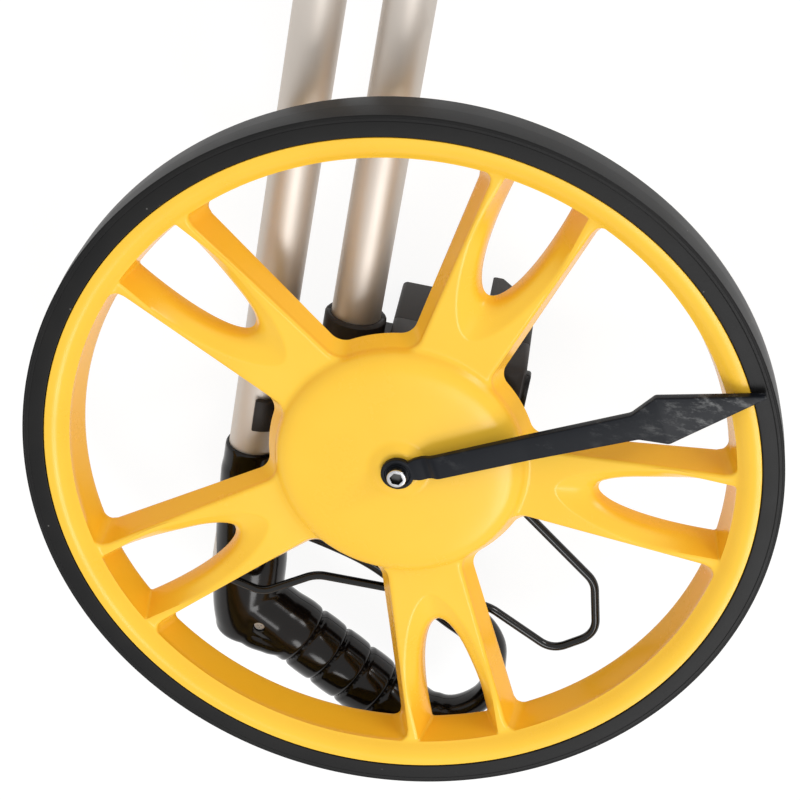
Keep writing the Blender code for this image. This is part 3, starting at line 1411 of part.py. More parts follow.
def round_section(half_width, half_depth, sides):
    points = []
    for step in range(sides):
        angle = math.tau * (step + 0.5) / sides
        points.append((half_width * math.cos(angle), half_depth * math.sin(angle)))
    return points


def make_kickstand():
    route = [(STAND_PIVOT_X, STAND_PIVOT_Y, WIRE_LEG_END), (STAND_PIVOT_X, STAND_PIVOT_Y, WIRE_HEIGHT)]
    for across, up in STAND_ROUTE_SHARES:
        route.append((TYRE_RADIUS * across, TYRE_RADIUS * up, WIRE_HEIGHT))
    bend = rounded_route(route[:3], WIRE_LEG_BEND, WIRE_BEND_STEPS)
    rest = rounded_route(route[1:], WIRE_BEND, WIRE_BEND_STEPS, WIRE_EASE)
    path = bend[:-1] + rest[1:]
    section = round_section(WIRE_RADIUS, WIRE_RADIUS, WIRE_SIDES)
    return swept("kickstand", path, [section] * len(path))


# Grip


def head_solid(name):
    """Head of the grip: a sleeve on the tube that swells into the handle's root."""
    path = []
    sections = []
    for down, aside, half, depth in HEAD_STATION_SHARES:
        x = UPPER_TUBE_X + HEAD_SHIFT * aside
        path.append(Vector((x, GRIP_TOP - HEAD_LENGTH * down, TUBE_HEIGHT)))
        sections.append(round_section(HEAD_HALF * half, HEAD_DEPTH_HALF * depth, GRIP_SIDES))
    return swept(name, path, sections)


def handle_stations():
    """Places along the handle and how far its surface swells or sinks there."""
    first = HANDLE_LENGTH * HANDLE_GROOVE_FIRST_SHARE
    pitch = HANDLE_LENGTH * HANDLE_GROOVE_PITCH_SHARE
    stations = [(0.0, 0.0), (first / 2, HANDLE_BULGE)]
    for groove in range(HANDLE_GROOVES):
        at = first + pitch * groove
        stations.append((at - HANDLE_GROOVE_HALF, 0.0))
        stations.append((at, -HANDLE_GROOVE_DEPTH))
        stations.append((at + HANDLE_GROOVE_HALF, 0.0))
        stations.append((at + pitch / 2, HANDLE_BULGE))
    return stations


def handle_solid(name):
    angle = math.radians(HANDLE_ANGLE)
    run = Vector((math.cos(angle), math.sin(angle), 0.0))
    start = Vector((HANDLE_START_X, HANDLE_START_Y, TUBE_HEIGHT))
    path = []
    sections = []
    for place, swell in handle_stations():
        path.append(start + run * place)
        sections.append(round_section(HANDLE_HALF + swell, HANDLE_DEPTH_HALF + swell, GRIP_SIDES))
    for share, shrink in HANDLE_END_SHARES:
        tail = HANDLE_LENGTH - HANDLE_HALF + HANDLE_HALF * share
        path.append(start + run * tail)
        sections.append(round_section(HANDLE_HALF * shrink, HANDLE_DEPTH_HALF * shrink, GRIP_SIDES))
    return swept(name, path, sections)


def grip_place(across, up):
    """A place in the handle's plane, given as shares of its length from its start."""
    return HANDLE_START_X + HANDLE_LENGTH * across, HANDLE_START_Y + HANDLE_LENGTH * up


def curved(points, steps):
    """A smooth row of points that passes through each of the given ones."""
    rows = [Vector(point) for point in points]
    rows = [rows[0] * 2 - rows[1]] + rows + [rows[-1] * 2 - rows[-2]]
    curve = []
    for before, here, after, beyond in zip(rows, rows[1:], rows[2:], rows[3:]):
        for step in range(steps):
            share = step / steps
            square = before * 2 - here * 5 + after * 4 - beyond
            cube = here * 3 - before - after * 3 + beyond
            turn = (after - before) * share + square * share ** 2 + cube * share ** 3
            curve.append(here + turn / 2)
    curve.append(rows[-2])
    return curve


def guard_solid(name):
    """The guard's bar, which widens where it turns down beside the handle's end."""
    path = []
    sections = []
    for across, up, widening in curved(GUARD_ROUTE_SHARES, GUARD_STEPS):
        path.append(Vector((*grip_place(across, up), TUBE_HEIGHT)))
        sections.append(round_section(GUARD_HALF * widening, GUARD_DEPTH_HALF, GUARD_SIDES))
    return swept(name, path, sections)


def grip_body(name):
    body = head_solid(name)
    fused(body, handle_solid("handle"), guard_solid("guard"))
    bore = cylinder("tube_bore", TUBE_RADIUS + CLEARANCE, UPPER_TUBE_BOTTOM - CLEARANCE,
                    GRIP_TOP + OVERRUN, segments=TUBE_SEGMENTS)
    cut(body, along_y(bore, UPPER_TUBE_X, TUBE_HEIGHT))
    top = grip_screw_face()
    for across, up in GRIP_SCREW_SHARES:
        place = grip_place(across, up)
        cut(body, cylinder("screw_seat", SCREW_HEAD_RADIUS + CLEARANCE, top - SCREW_HEAD,
                           HOUSING_DEPTH + OVERRUN, place, POST_SEGMENTS))
        cut(body, cylinder("screw_bore", SCREW_SHANK_RADIUS + CLEARANCE,
                           top - GRIP_SCREW_LENGTH - CLEARANCE, top, place, SCREW_SEGMENTS))
    return body


def grip_screw_face():
    return TUBE_HEIGHT + HANDLE_DEPTH_HALF - GRIP_SCREW_SINK


def make_grip_front():
    body = grip_body("grip_front")
    reach = 2 * TYRE_RADIUS
    cut(body, box("below", (-reach, -reach, -OVERRUN), (reach, reach, TUBE_HEIGHT + SPLIT_GAP / 2)))
    return tidied(body)


def make_grip_rear():
    body = grip_body("grip_rear")
    reach = 2 * TYRE_RADIUS
    cut(body, box("above", (-reach, -reach, TUBE_HEIGHT - SPLIT_GAP / 2),
                  (reach, reach, HOUSING_DEPTH + 2 * OVERRUN)))
    return tidied(body)


def build():
    clear_scene()
    finished(make_tyre(), "black_rubber")
    finished(make_wheel(), "yellow_plastic")
    finished(make_bush("wheel_bush_front", AXLE_TOP_Z - BUSH_LENGTH), "bush_plastic")
    finished(make_bush("wheel_bush_rear", HUB_BACK_Z + DRIVE_PLUG + 2 * CLEARANCE),
             "bush_plastic")
    finished(make_drive_gear(), "gear_plastic")
    finished(make_axle(), "steel")
    finished(make_bolt(), "bright_metal")
    washer_bottom = AXLE_TOP_Z + CLEARANCE
    finished(ring("pointer_washer", BOLT_SHANK_RADIUS + CLEARANCE, WASHER_RADIUS, washer_bottom,
                  washer_bottom + WASHER_THICKNESS), "steel")
    finished(make_pointer(), "pointer_plastic")
    finished(make_housing_front(), "housing_plastic")
    finished(make_housing_rear(), "housing_plastic")
    finished(lens_block("counter_lens", 0.0, 0.0), "clear_lens")
    finished(make_reset_button(), "grip_plastic")
    for index, (x, y) in enumerate(post_places()):
        screw = slotted_screw("housing_screw_" + str(index + 1), (x, y, SCREW_SINK),
                              SCREW_LENGTH - SCREW_SINK, False)
        finished(screw, "steel")
    drum = drum_centre()
    finished(make_idler(), "gear_plastic", origin=(*idler_centre(), 0.0))
    finished(make_shaft("idler_pin", IDLER_PIN_RADIUS, idler_centre()), "steel")
    finished(make_shaft("drum_shaft", DRUM_SHAFT_RADIUS, drum), "steel")
    finished(make_shaft("pinion_shaft", PINION_SHAFT_RADIUS, pinion_centre()), "steel")
    finished(make_drum_gear(), "gear_plastic", origin=(*drum, 0.0))
    for index in range(DRUM_COUNT):
        finished(make_drum(index), "counter_white", origin=(*drum, 0.0))
    for index in range(DRUM_COUNT - 1):
        finished(make_pinion(index), "gear_plastic", origin=(*pinion_centre(), 0.0))
    finished(make_clip(), "housing_plastic")
    finished(make_tube("lower_tube", LOWER_TUBE_X, LOWER_TUBE_BOTTOM), "tube_metal")
    fold = (FOLD_X, FOLD_Y, 0.0)
    finished(make_tube("upper_tube", UPPER_TUBE_X, UPPER_TUBE_BOTTOM), "tube_metal", origin=fold)
    finished(make_lower_bracket(), "grip_plastic")
    finished(make_upper_bracket(), "grip_plastic", origin=fold)
    finished(make_fold_pin(), "steel")
    finished(make_fold_nut(), "steel")
    finished(make_lock_button(), "grip_plastic")
    finished(make_grip_front(), "grip_plastic", origin=fold)
    finished(make_grip_rear(), "grip_plastic", origin=fold)
    for index, (across, up) in enumerate(GRIP_SCREW_SHARES):
        face = (*grip_place(across, up), grip_screw_face())
        screw = slotted_screw("grip_screw_" + str(index + 1), face, GRIP_SCREW_LENGTH, True)
        finished(screw, "steel", origin=fold)
    pivot = (STAND_PIVOT_X, STAND_PIVOT_Y, 0.0)
    finished(make_kickstand(), "wire_enamel", origin=pivot)
    finished(ring("stand_washer", WIRE_RADIUS + CLEARANCE, STAND_WASHER_RADIUS,
                  STAND_EAR_TOP + CLEARANCE, STAND_EAR_TOP + CLEARANCE + STAND_WASHER,
                  (STAND_PIVOT_X, STAND_PIVOT_Y)), "steel")


build()
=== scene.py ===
# %% [markdown]
# # A measuring wheel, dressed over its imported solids
# The model is a folding measuring wheel that lies on its back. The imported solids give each
# piece its place and its joint. This script keeps them as a frame, and gives every piece
# the rounded edges, fine forms and finishes of the real one. It starts by loading the
# frame and noting the box that it fills.

# %% The frame and the tools
import json
import math
from contextlib import contextmanager

import bmesh
import bpy
import numpy as np
from mathutils import Matrix, Vector

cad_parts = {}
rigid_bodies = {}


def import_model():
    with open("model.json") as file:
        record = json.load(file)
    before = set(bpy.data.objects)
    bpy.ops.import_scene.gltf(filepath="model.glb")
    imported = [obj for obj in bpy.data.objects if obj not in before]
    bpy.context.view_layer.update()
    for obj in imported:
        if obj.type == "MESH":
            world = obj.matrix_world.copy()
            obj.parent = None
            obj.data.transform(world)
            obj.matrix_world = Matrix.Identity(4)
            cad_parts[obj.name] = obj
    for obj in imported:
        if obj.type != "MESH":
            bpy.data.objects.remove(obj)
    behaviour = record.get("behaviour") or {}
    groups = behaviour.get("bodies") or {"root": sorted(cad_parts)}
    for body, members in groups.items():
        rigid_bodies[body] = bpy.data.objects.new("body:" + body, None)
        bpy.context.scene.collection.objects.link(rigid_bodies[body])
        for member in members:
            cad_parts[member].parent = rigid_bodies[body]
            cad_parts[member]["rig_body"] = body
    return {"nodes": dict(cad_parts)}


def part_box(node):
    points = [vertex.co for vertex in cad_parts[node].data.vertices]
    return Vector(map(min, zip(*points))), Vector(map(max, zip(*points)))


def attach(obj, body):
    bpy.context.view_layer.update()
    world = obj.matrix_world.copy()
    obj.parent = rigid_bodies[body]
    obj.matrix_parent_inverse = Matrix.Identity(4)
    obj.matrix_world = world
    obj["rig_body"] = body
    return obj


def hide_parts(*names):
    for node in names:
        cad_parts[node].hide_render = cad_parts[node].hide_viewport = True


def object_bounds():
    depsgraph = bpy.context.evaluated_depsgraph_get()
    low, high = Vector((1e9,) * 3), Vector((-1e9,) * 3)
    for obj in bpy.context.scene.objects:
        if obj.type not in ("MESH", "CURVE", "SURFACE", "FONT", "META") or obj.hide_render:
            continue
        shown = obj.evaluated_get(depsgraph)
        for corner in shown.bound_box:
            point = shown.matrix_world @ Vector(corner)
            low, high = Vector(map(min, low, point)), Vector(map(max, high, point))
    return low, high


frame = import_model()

cad_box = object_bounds()
MM = 0.001


def placed(name, data):
    """A new object for some data, linked into the scene."""
    made = bpy.data.objects.new(name, data)
    bpy.context.scene.collection.objects.link(made)
    return made

# %% [markdown]
# ## The camera
# The picture was taken from above, a little from the top right, with a long lens. The
# camera's turn and place were solved from the ellipses of the tyre and the rim, in a frame
# that is turned with the wheel, so the turn of that frame is put in front here.

# %% Camera
PHOTO_TURN = Matrix.Rotation(math.radians(12.9), 3, "Z")
PHOTO_AXES = Matrix((
    (0.99159, -0.06102, -0.11415),
    (0.0, 0.8819, -0.4714),
    (0.12944, 0.46744, 0.87448),
))
PHOTO_PLACE = Vector((114.84, 437.94, 751.62))
PHOTO_LENS = 95.07
TYRE_FRONT = 86.0


def add_camera():
    """A camera at the photograph's angle, with its place worked out in millimetres."""
    lens = bpy.data.cameras.new("camera")
    lens.lens = PHOTO_LENS
    lens.sensor_width = 36.0
    lens.clip_start = 0.01
    holder = placed("camera", lens)
    place = (PHOTO_TURN @ PHOTO_PLACE + Vector((0.0, 0.0, TYRE_FRONT))) * MM
    turn = PHOTO_TURN @ PHOTO_AXES.transposed()
    holder.matrix_world = Matrix.Translation(place) @ turn.to_4x4()
    bpy.context.scene.camera = holder
    return holder


camera = add_camera()
print("camera stands", round(camera.location.length, 3), "m from the middle of the wheel")

# %% [markdown]
# ## Maths inside a material
# A material is a graph of nodes. Writing that graph node by node hides the idea, so a
# small class holds one socket and lets Python's own signs build the nodes: `1 - mask`
# adds a Subtract node. Any other node comes from one call, `node`.

# %% A socket that can be added and multiplied


class Wire:
    """One socket of a material. Its signs add Math nodes, its node call adds any other."""

    def __init__(self, tree, socket=None):
        self.tree = tree
        self.socket = socket

    def node(self, kind, settings=None, inputs=None, out=0):
        """Adds a node: its settings first, then the values or wires of its sockets."""
        made = self.tree.nodes.new("ShaderNode" + kind)
        for name, value in (settings or {}).items():
            if name == "stops":
                ramp = made.color_ramp.elements
                while len(ramp) < len(value):
                    ramp.new(0.5)
                for element, (place, colour) in zip(ramp, value):
                    element.position = place
                    element.color = (*colour, 1.0)
            else:
                setattr(made, name, value)
        for name, value in (inputs or {}).items():
            if isinstance(value, Wire):
                self.tree.links.new(value.socket, made.inputs[name])
            elif isinstance(value, tuple) and len(made.inputs[name].default_value) == 4:
                made.inputs[name].default_value = (*value, 1.0)
            else:
                made.inputs[name].default_value = value
        return Wire(self.tree, made.outputs[out])

    def sign(self, operation, first, second):
        return self.node("Math", {"operation": operation}, {0: first, 1: second})

    def __add__(self, other):
        return self.sign("ADD", self, other)

    __radd__ = __add__

    def __mul__(self, other):
        return self.sign("MULTIPLY", self, other)

    __rmul__ = __mul__

    def __sub__(self, other):
        return self.sign("SUBTRACT", self, other)

    def __rsub__(self, other):
        return self.sign("SUBTRACT", other, self)

    def __pow__(self, other):
        return self.sign("POWER", self, other)

    def between(self, low, high):
        """Rises smoothly from 0 at low to 1 at high."""
        return self.node("MapRange", {"interpolation_type": "SMOOTHSTEP"},
                         {0: self, 1: low, 2: high, 3: 0.0, 4: 1.0})

    def blend(self, first, second):
        """Mixes two colours, with this wire as the share of the second."""
        return self.node("Mix", {"data_type": "RGBA"}, {0: self, 6: first, 7: second}, out=2)


# %% [markdown]
# ## A finish and its patterns
# Every finish starts the same way: one Principled shader whose even values are typed
# straight into it, and patterns that read the piece's own Object coordinates. Those are in
# metres, so a noise scale of 1000 gives grains one millimetre wide.

# %% Finishes and patterns


class Finish:
    """A material, its shader, and the patterns that its colour and bumps are built from."""

    def __init__(self, name, colour, roughness, **even):
        self.material = bpy.data.materials.new(name)
        self.material.use_nodes = True
        self.material.diffuse_color = (*colour, 1.0)
        self.tree = self.material.node_tree
        self.shader = self.tree.nodes["Principled BSDF"]
        self.shader.inputs["Base Color"].default_value = (*colour, 1.0)
        self.shader.inputs["Roughness"].default_value = roughness
        for socket, value in even.items():
            self.shader.inputs[socket.replace("_", " ")].default_value = value
        self.wire = Wire(self.tree)
        self.place = self.wire.node("TexCoord", out="Object")

    def stretched(self, x, y, z):
        """Object coordinates with each direction scaled by its own factor."""
        return self.wire.node("Mapping", None, {"Vector": self.place, "Scale": Vector((x, y, z))})

    def noise(self, scale, detail=3.0, rough=0.55, at=None):
        return self.wire.node("TexNoise", None, {
            "Vector": at or self.place, "Scale": scale, "Detail": detail, "Roughness": rough})

    def cells(self, scale, at=None):
        """Distance from the nearest of many scattered points: small round specks."""
        return self.wire.node("TexVoronoi", None, {"Vector": at or self.place, "Scale": scale})

    def drive(self, socket, wire):
        self.tree.links.new(wire.socket, self.shader.inputs[socket])

    def bump(self, height, depth, strength=1.0):
        self.drive("Normal", self.wire.node("Bump", None, {
            "Strength": strength, "Distance": depth, "Height": height}))


# %% [markdown]
# ## Wheel plastic
# The wheel is one moulding in a warm yellow. Moulded polypropylene has a soft gloss, a
# faint cloudiness in its colour, and a surface that is very slightly uneven, as an orange's
# peel is. Fine scuffs make small patches duller. The drafted walls get a painted shade: a
# deeper orange than the faces that lie flat. It stands in for the shade on them and the
# yellow light bounced between them.

# %% Yellow plastic
YELLOW = (0.96, 0.600, 0.055)
YELLOW_DEEP = (0.92, 0.510, 0.028)
# Painted shade colour for the steep walls, not a colour of the plastic itself.
YELLOW_PAINTED_SHADE = (0.96, 0.475, 0.018)


def make_yellow():
    made = Finish("wheel_plastic", YELLOW, 0.26, IOR=1.47, Specular_IOR_Level=0.30)
    cloud = made.noise(26.0, 2.0)
    fine = made.noise(420.0, 4.0)
    facing = made.wire.node("TexCoord", out="Normal")
    upright = facing.node("SeparateXYZ", None, {0: facing}, out="Z")
    # Painted shade: faces that stand steep are tinted deeper orange, for the shade and the bounced
    # yellow light on them.
    steep_painted_shade = 1 - upright.sign("ABSOLUTE", upright, 0.0).between(0.25, 0.85)
    clouded = (cloud.between(0.30, 0.80) * 0.35).blend(YELLOW, YELLOW_DEEP)
    made.drive("Base Color", (steep_painted_shade * 0.85).blend(clouded, YELLOW_PAINTED_SHADE))
    made.drive("Roughness", 0.20 + fine * 0.08 + cloud.between(0.45, 0.75) * 0.06)
    made.bump(fine * 0.5 + made.noise(160.0, 2.0) * 1.2, 0.00004, 0.5)
    return made.material


yellow = make_yellow()
print("finish:", yellow.name)

# %% [markdown]
# ## Rubber
# The tyre is moulded black rubber. It is matt, and it greys where the light grazes it. A
# few pale specks of dust cling to its side.

# %% Black rubber
RUBBER = (0.0032, 0.0032, 0.0034)


def make_rubber():
    made = Finish("tyre_rubber", RUBBER, 0.46, Specular_IOR_Level=0.20)
    grain = made.noise(1500.0, 3.0, 0.6)
    patch = made.noise(45.0, 2.0)
    speck = 1 - made.cells(150.0).between(0.035, 0.085)
    rare = made.noise(60.0, 1.0).between(0.55, 0.62)
    worn = (patch.between(0.35, 0.75) * 0.5).blend(RUBBER, (0.009, 0.0086, 0.008))
    made.drive("Base Color", (speck * rare * 0.5).blend(worn, (0.30, 0.30, 0.29)))
    made.drive("Roughness", 0.38 + patch * 0.14)
    made.bump(grain, 0.00005, 0.6)
    return made.material


rubber = make_rubber()
print("finish:", rubber.name)

# %% [markdown]
# ## Dark plastics
# Four black pieces look different in the picture. The housing is matt with a fine spark
# grain, a little brown. The grip and the wire shine. The pointer is blue-black with
# scuffs towards its tip. One function makes them all from a few numbers.

# %% Dark plastics


def make_dark(name, colour, pale, roughness, grain_scale, grain_depth, shine):
    """A dark finish: cloudy colour, uneven gloss, and a grain of the given size."""
    made = Finish(name, colour, roughness, Specular_IOR_Level=shine)
    cloud = made.noise(38.0, 3.0)
    grain = made.noise(grain_scale, 3.0, 0.6)
    made.drive("Base Color", (cloud.between(0.35, 0.80) * 0.7).blend(colour, pale))
    made.drive("Roughness", roughness - 0.05 + cloud * 0.08 + grain * 0.04)
    made.bump(grain, grain_depth, 0.7)
    return made.material


housing_finish = make_dark("housing_plastic", (0.020, 0.0165, 0.015), (0.030, 0.026, 0.024),
                           0.50, 1900.0, 0.00007, 0.22)
grip_finish = make_dark("grip_plastic", (0.0040, 0.0028, 0.0022), (0.007, 0.0045, 0.0034),
                        0.14, 260.0, 0.00003, 0.26)
button_finish = make_dark("button_plastic", (0.007, 0.006, 0.0055), (0.011, 0.010, 0.009),
                          0.30, 600.0, 0.00003, 0.22)
wire_finish = make_dark("wire_enamel", (0.003, 0.003, 0.003), (0.005, 0.0045, 0.0045),
                        0.12, 300.0, 0.00002, 0.34)
print("finishes:", housing_finish.name, grip_finish.name, wire_finish.name)

# %% Pointer plastic

POINTER_COLOUR = (0.006, 0.0075, 0.011)


def make_pointer_finish():
    """Blue-black plastic that is scratched and paler towards the arrow's tip."""
    made = Finish("pointer_plastic", POINTER_COLOUR, 0.34, Specular_IOR_Level=0.13)
    scratch = made.noise(110.0, 5.0, 0.75, made.stretched(1.0, 2.2, 1.0))
    patch = made.noise(55.0, 2.0)
    reach = made.place.node("VectorMath", {"operation": "LENGTH"}, {0: made.place}, out="Value")
    tip = reach.between(0.130, 0.160)
    scuff = scratch.between(0.48, 0.72) * (patch.between(0.48, 0.66) * 0.25 + tip)
    made.drive("Base Color", scuff.blend(POINTER_COLOUR, (0.15, 0.155, 0.16)))
    made.drive("Roughness", 0.30 + patch * 0.10 + scuff * 0.22)
    made.bump(made.noise(900.0, 3.0) + scuff * 1.5, 0.00004, 0.6)
    return made.material


pointer_finish = make_pointer_finish()
print("finish:", pointer_finish.name)

# %% [markdown]
# ## Metals
# The tubes are drawn aluminium, satin, with fine lines along them. The bolt and the screws
# are plated steel. The lines come from a noise that is stretched along the tube.

# %% Metals


def make_metal(name, colour, roughness, stretch=(1.0, 1.0, 1.0), line_scale=900.0):
    """A metal whose fine lines follow the direction with the smallest stretch."""
    made = Finish(name, colour, roughness, Metallic=1.0)
    lines = made.noise(line_scale, 3.0, 0.6, made.stretched(*stretch))
    cloud = made.noise(30.0, 2.0)
    paler = tuple(min(1.0, part * 1.12) for part in colour)
    made.drive("Base Color", (lines * 0.6 + cloud * 0.3).blend(colour, paler))
    made.drive("Roughness", roughness - 0.06 + lines * 0.10 + cloud * 0.05)
    made.bump(lines, 0.00002, 0.5)
    return made.material


tube_finish = make_metal("tube_metal", (0.60, 0.55, 0.50), 0.54, (1.0, 0.02, 1.0), 2200.0)
bright_finish = make_metal("bright_metal", (0.46, 0.46, 0.47), 0.20)
steel_finish = make_metal("steel", (0.42, 0.42, 0.43), 0.32)
# Near-black finish for the inside of the bolt's socket: painted shade in the recess.
socket_finish = make_metal("socket_painted_shade", (0.06, 0.06, 0.058), 0.42)
print("finishes:", tube_finish.name, bright_finish.name, steel_finish.name)

# %% [markdown]
# ## Counter plastics and the lens
# The drums are off-white with black figures, the gears are natural nylon, and a clear
# lens closes the window over the drums.

# %% Counter finishes


def make_pale(name, colour, tint, roughness):
    made = Finish(name, colour, roughness, Specular_IOR_Level=0.45)
    cloud = made.noise(240.0, 3.0)
    made.drive("Base Color", (cloud.between(0.3, 0.8) * 0.6).blend(colour, tint))
    made.drive("Roughness", roughness - 0.04 + cloud * 0.08)
    made.bump(made.noise(1400.0, 2.0), 0.00003, 0.5)
    return made.material


drum_finish = make_pale("counter_plastic", (0.78, 0.78, 0.75), (0.70, 0.69, 0.65), 0.42)
figure_finish = make_pale("figure_ink", (0.015, 0.015, 0.016), (0.030, 0.030, 0.030), 0.50)
gear_finish = make_pale("gear_plastic", (0.68, 0.66, 0.59), (0.60, 0.58, 0.50), 0.48)


def make_lens():
    made = Finish("clear_lens", (0.93, 0.95, 0.96), 0.05, Transmission_Weight=0.92, IOR=1.49)
    made.drive("Roughness", 0.03 + made.noise(500.0, 2.0) * 0.05)
    return made.material


lens_finish = make_lens()
print("finishes:", drum_finish.name, gear_finish.name, lens_finish.name)

# %% [markdown]
# ## Grids, and turning them into pieces
# Every new piece below is a surface over a grid of two parameters. numpy works out all the
# points at once, in millimetres, and the cells of the grid become its faces. `new_mesh`
# merges the seams of such grids and turns their faces outwards. `add_piece` lets the result
# ride on the body of the solid that it stands for.

# %% Grid helpers


def grid_cells(rows, columns, wrap_rows=False, wrap_columns=False):
    """Corner numbers of each cell: (i, j), (i, j+1), (i+1, j+1), (i+1, j)."""
    row = np.arange(rows if wrap_rows else rows - 1)[:, None]
    column = np.arange(columns if wrap_columns else columns - 1)[None, :]
    below = (row + 1) % rows
    beside = (column + 1) % columns
    corners = [row * columns + column, row * columns + beside,
               below * columns + beside, below * columns + column]
    return np.stack([part + 0 * corners[0] for part in corners], -1).reshape(-1, 4)


def ray(angle):
    """Unit directions (cos, sin) at some angles."""
    return np.stack([np.cos(angle), np.sin(angle)], -1)


def polar(points):
    """Distance from the axle, and angle, of flat points."""
    return np.hypot(points[..., 0], points[..., 1]), np.arctan2(points[..., 1], points[..., 0])


def lifted(flat, height):
    """Flat points with a height as their third number."""
    return np.concatenate([flat, np.broadcast_to(height, flat.shape[:-1])[..., None]], -1)


def spun(points, angle):
    """Points turned about the wheel's axis: (x cos - y sin, x sin + y cos, z)."""
    x, y = points[..., 0], points[..., 1]
    return np.stack([x * math.cos(angle) - y * math.sin(angle),
                     x * math.sin(angle) + y * math.cos(angle), points[..., 2]], -1)


def turned(profile, segments, middle=(0.0, 0.0), axis="Z", closed=True):
    """A profile of (radius, height) points carried round an axis.

    x = radius times cosine of the angle, y = radius times sine, z = height. For an axis
    along Y the height becomes y and the circle lies in x and z.
    """
    profile = np.asarray(profile, float)
    circle = ray(np.linspace(0.0, math.tau, segments, endpoint=False))
    points = lifted(profile[:, 0, None, None] * circle + middle, profile[:, 1, None])
    if axis == "Y":
        points = points[..., [0, 2, 1]]
    return points, grid_cells(len(profile), segments, closed, True)


def cylinder(radius, low, high, segments, middle=(0.0, 0.0), axis="Z"):
    """A closed cylinder, or a prism when its segments are few."""
    return turned([(0.0, low), (radius, low), (radius, high), (0.0, high)],
                  segments, middle, axis, False)


def closed_sweep(rows):
    """A loft of rows, with a middle point closing each end."""
    first = np.repeat(rows[:1].mean(1, keepdims=True), rows.shape[1], 1)
    last = np.repeat(rows[-1:].mean(1, keepdims=True), rows.shape[1], 1)
    cells = grid_cells(len(rows) + 2, rows.shape[1], False, True)
    return np.concatenate([first, rows, last]), cells


def corner_curve(before, here, after, radius, steps, least=0.0, most=0.5):
    """A curve that bends a corner: start (1-s)(1-s) + corner 2s(1-s) + end s s.

    Start and end lie a reach away from the corner, radius / tan(half the corner's angle).
    """
    back, ahead = before - here, after - here
    near, far = np.linalg.norm(back), np.linalg.norm(ahead)
    half = math.acos(np.clip(back @ ahead / near / far, -1.0, 1.0)) / 2
    reach = min(max(radius / math.tan(half), least), near * most, far * most)
    share = np.linspace(0.0, 1.0, steps)[:, None]
    first, last = here + back / near * reach, here + ahead / far * reach
    return first * (1 - share) ** 2 + here * 2 * share * (1 - share) + last * share ** 2


def rounded_row(corners, steps=6):
    """A closed row of corners (x, y, radius), each bent by a curve that touches its sides."""
    places = np.array([corner[:2] for corner in corners], float)
    return np.concatenate([
        corner_curve(before, here, after, corner[2], steps + 1) if corner[2] else here[None]
        for before, here, after, corner in zip(np.roll(places, 1, 0), places,
                                               np.roll(places, -1, 0), corners)])


# %% Mesh helpers


@contextmanager
def edited(mesh):
    """Opens a mesh for bmesh tools, and writes it back afterwards."""
    edit = bmesh.new()
    edit.from_mesh(mesh)
    yield edit
    edit.to_mesh(mesh)
    edit.free()


def new_mesh(name, parts, merge=0.000002):
    """One mesh from parts (points in millimetres, faces), merged, with faces outwards."""
    points, faces, start = [], [], 0
    for own_points, own_faces in parts:
        points.append(own_points.reshape(-1, 3) * MM)
        faces += (np.asarray(own_faces) + start).tolist()
        start += len(points[-1])
    mesh = bpy.data.meshes.new(name)
    mesh.from_pydata(np.concatenate(points).tolist(), [], faces)
    with edited(mesh) as edit:
        bmesh.ops.remove_doubles(edit, verts=edit.verts, dist=merge)
        bmesh.ops.recalc_face_normals(edit, faces=edit.faces)
    return mesh


def modified(data, *steps):
    """The mesh that comes out of some modifiers, each given as a kind and its settings."""
    body = placed("body", data)
    for kind, settings in steps:
        step = body.modifiers.new(kind, kind)
        for name, value in settings.items():
            setattr(step, name, value)
    graph = bpy.context.evaluated_depsgraph_get()
    made = bpy.data.meshes.new_from_object(body.evaluated_get(graph))
    bpy.data.objects.remove(body)
    return made


def boolean(mesh, cutter, operation="DIFFERENCE"):
    """The mesh with a closed cutter taken away from it, or added to it."""
    tool = placed("tool", cutter)
    made = modified(mesh, ("BOOLEAN", {"operation": operation, "solver": "EXACT", "object": tool}))
    bpy.data.objects.remove(tool)
    return made


def dress(mesh, finish):
    mesh.materials.clear()
    mesh.materials.append(finish)


def add_piece(name, mesh, node, finish, sharp=40.0, stands_in=True):
    """A smooth piece that rides with a solid of the frame, and stands in for it."""
    mesh.shade_smooth()
    mesh.set_sharp_from_angle(angle=math.radians(sharp))
    dress(mesh, finish)
    made = placed(name, mesh)
    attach(made, frame["nodes"][node]["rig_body"])
    if stands_in:
        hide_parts(node)
        dress(frame["nodes"][node].data, finish)
    print(name + ":", len(mesh.vertices), "points,", len(mesh.polygons), "faces")
    return made


# %% [markdown]
# ## The tyre
# A ring of rubber with a square section, soft outer edges, a slightly crowned tread and a
# key that sits in the rim's groove. It is one profile turned about the axle. Two faint
# lines near the tread come from the mould, so the profile dips a little there.

# %% Tyre
TYRE_RADIUS = 159.15
TYRE_INNER = 149.95
TYRE_BACK = 64.7
TYRE_MIDDLE = (TYRE_FRONT + TYRE_BACK) / 2
KEY_FLOOR = TYRE_INNER - 3.0
KEY_HALF = 3.4


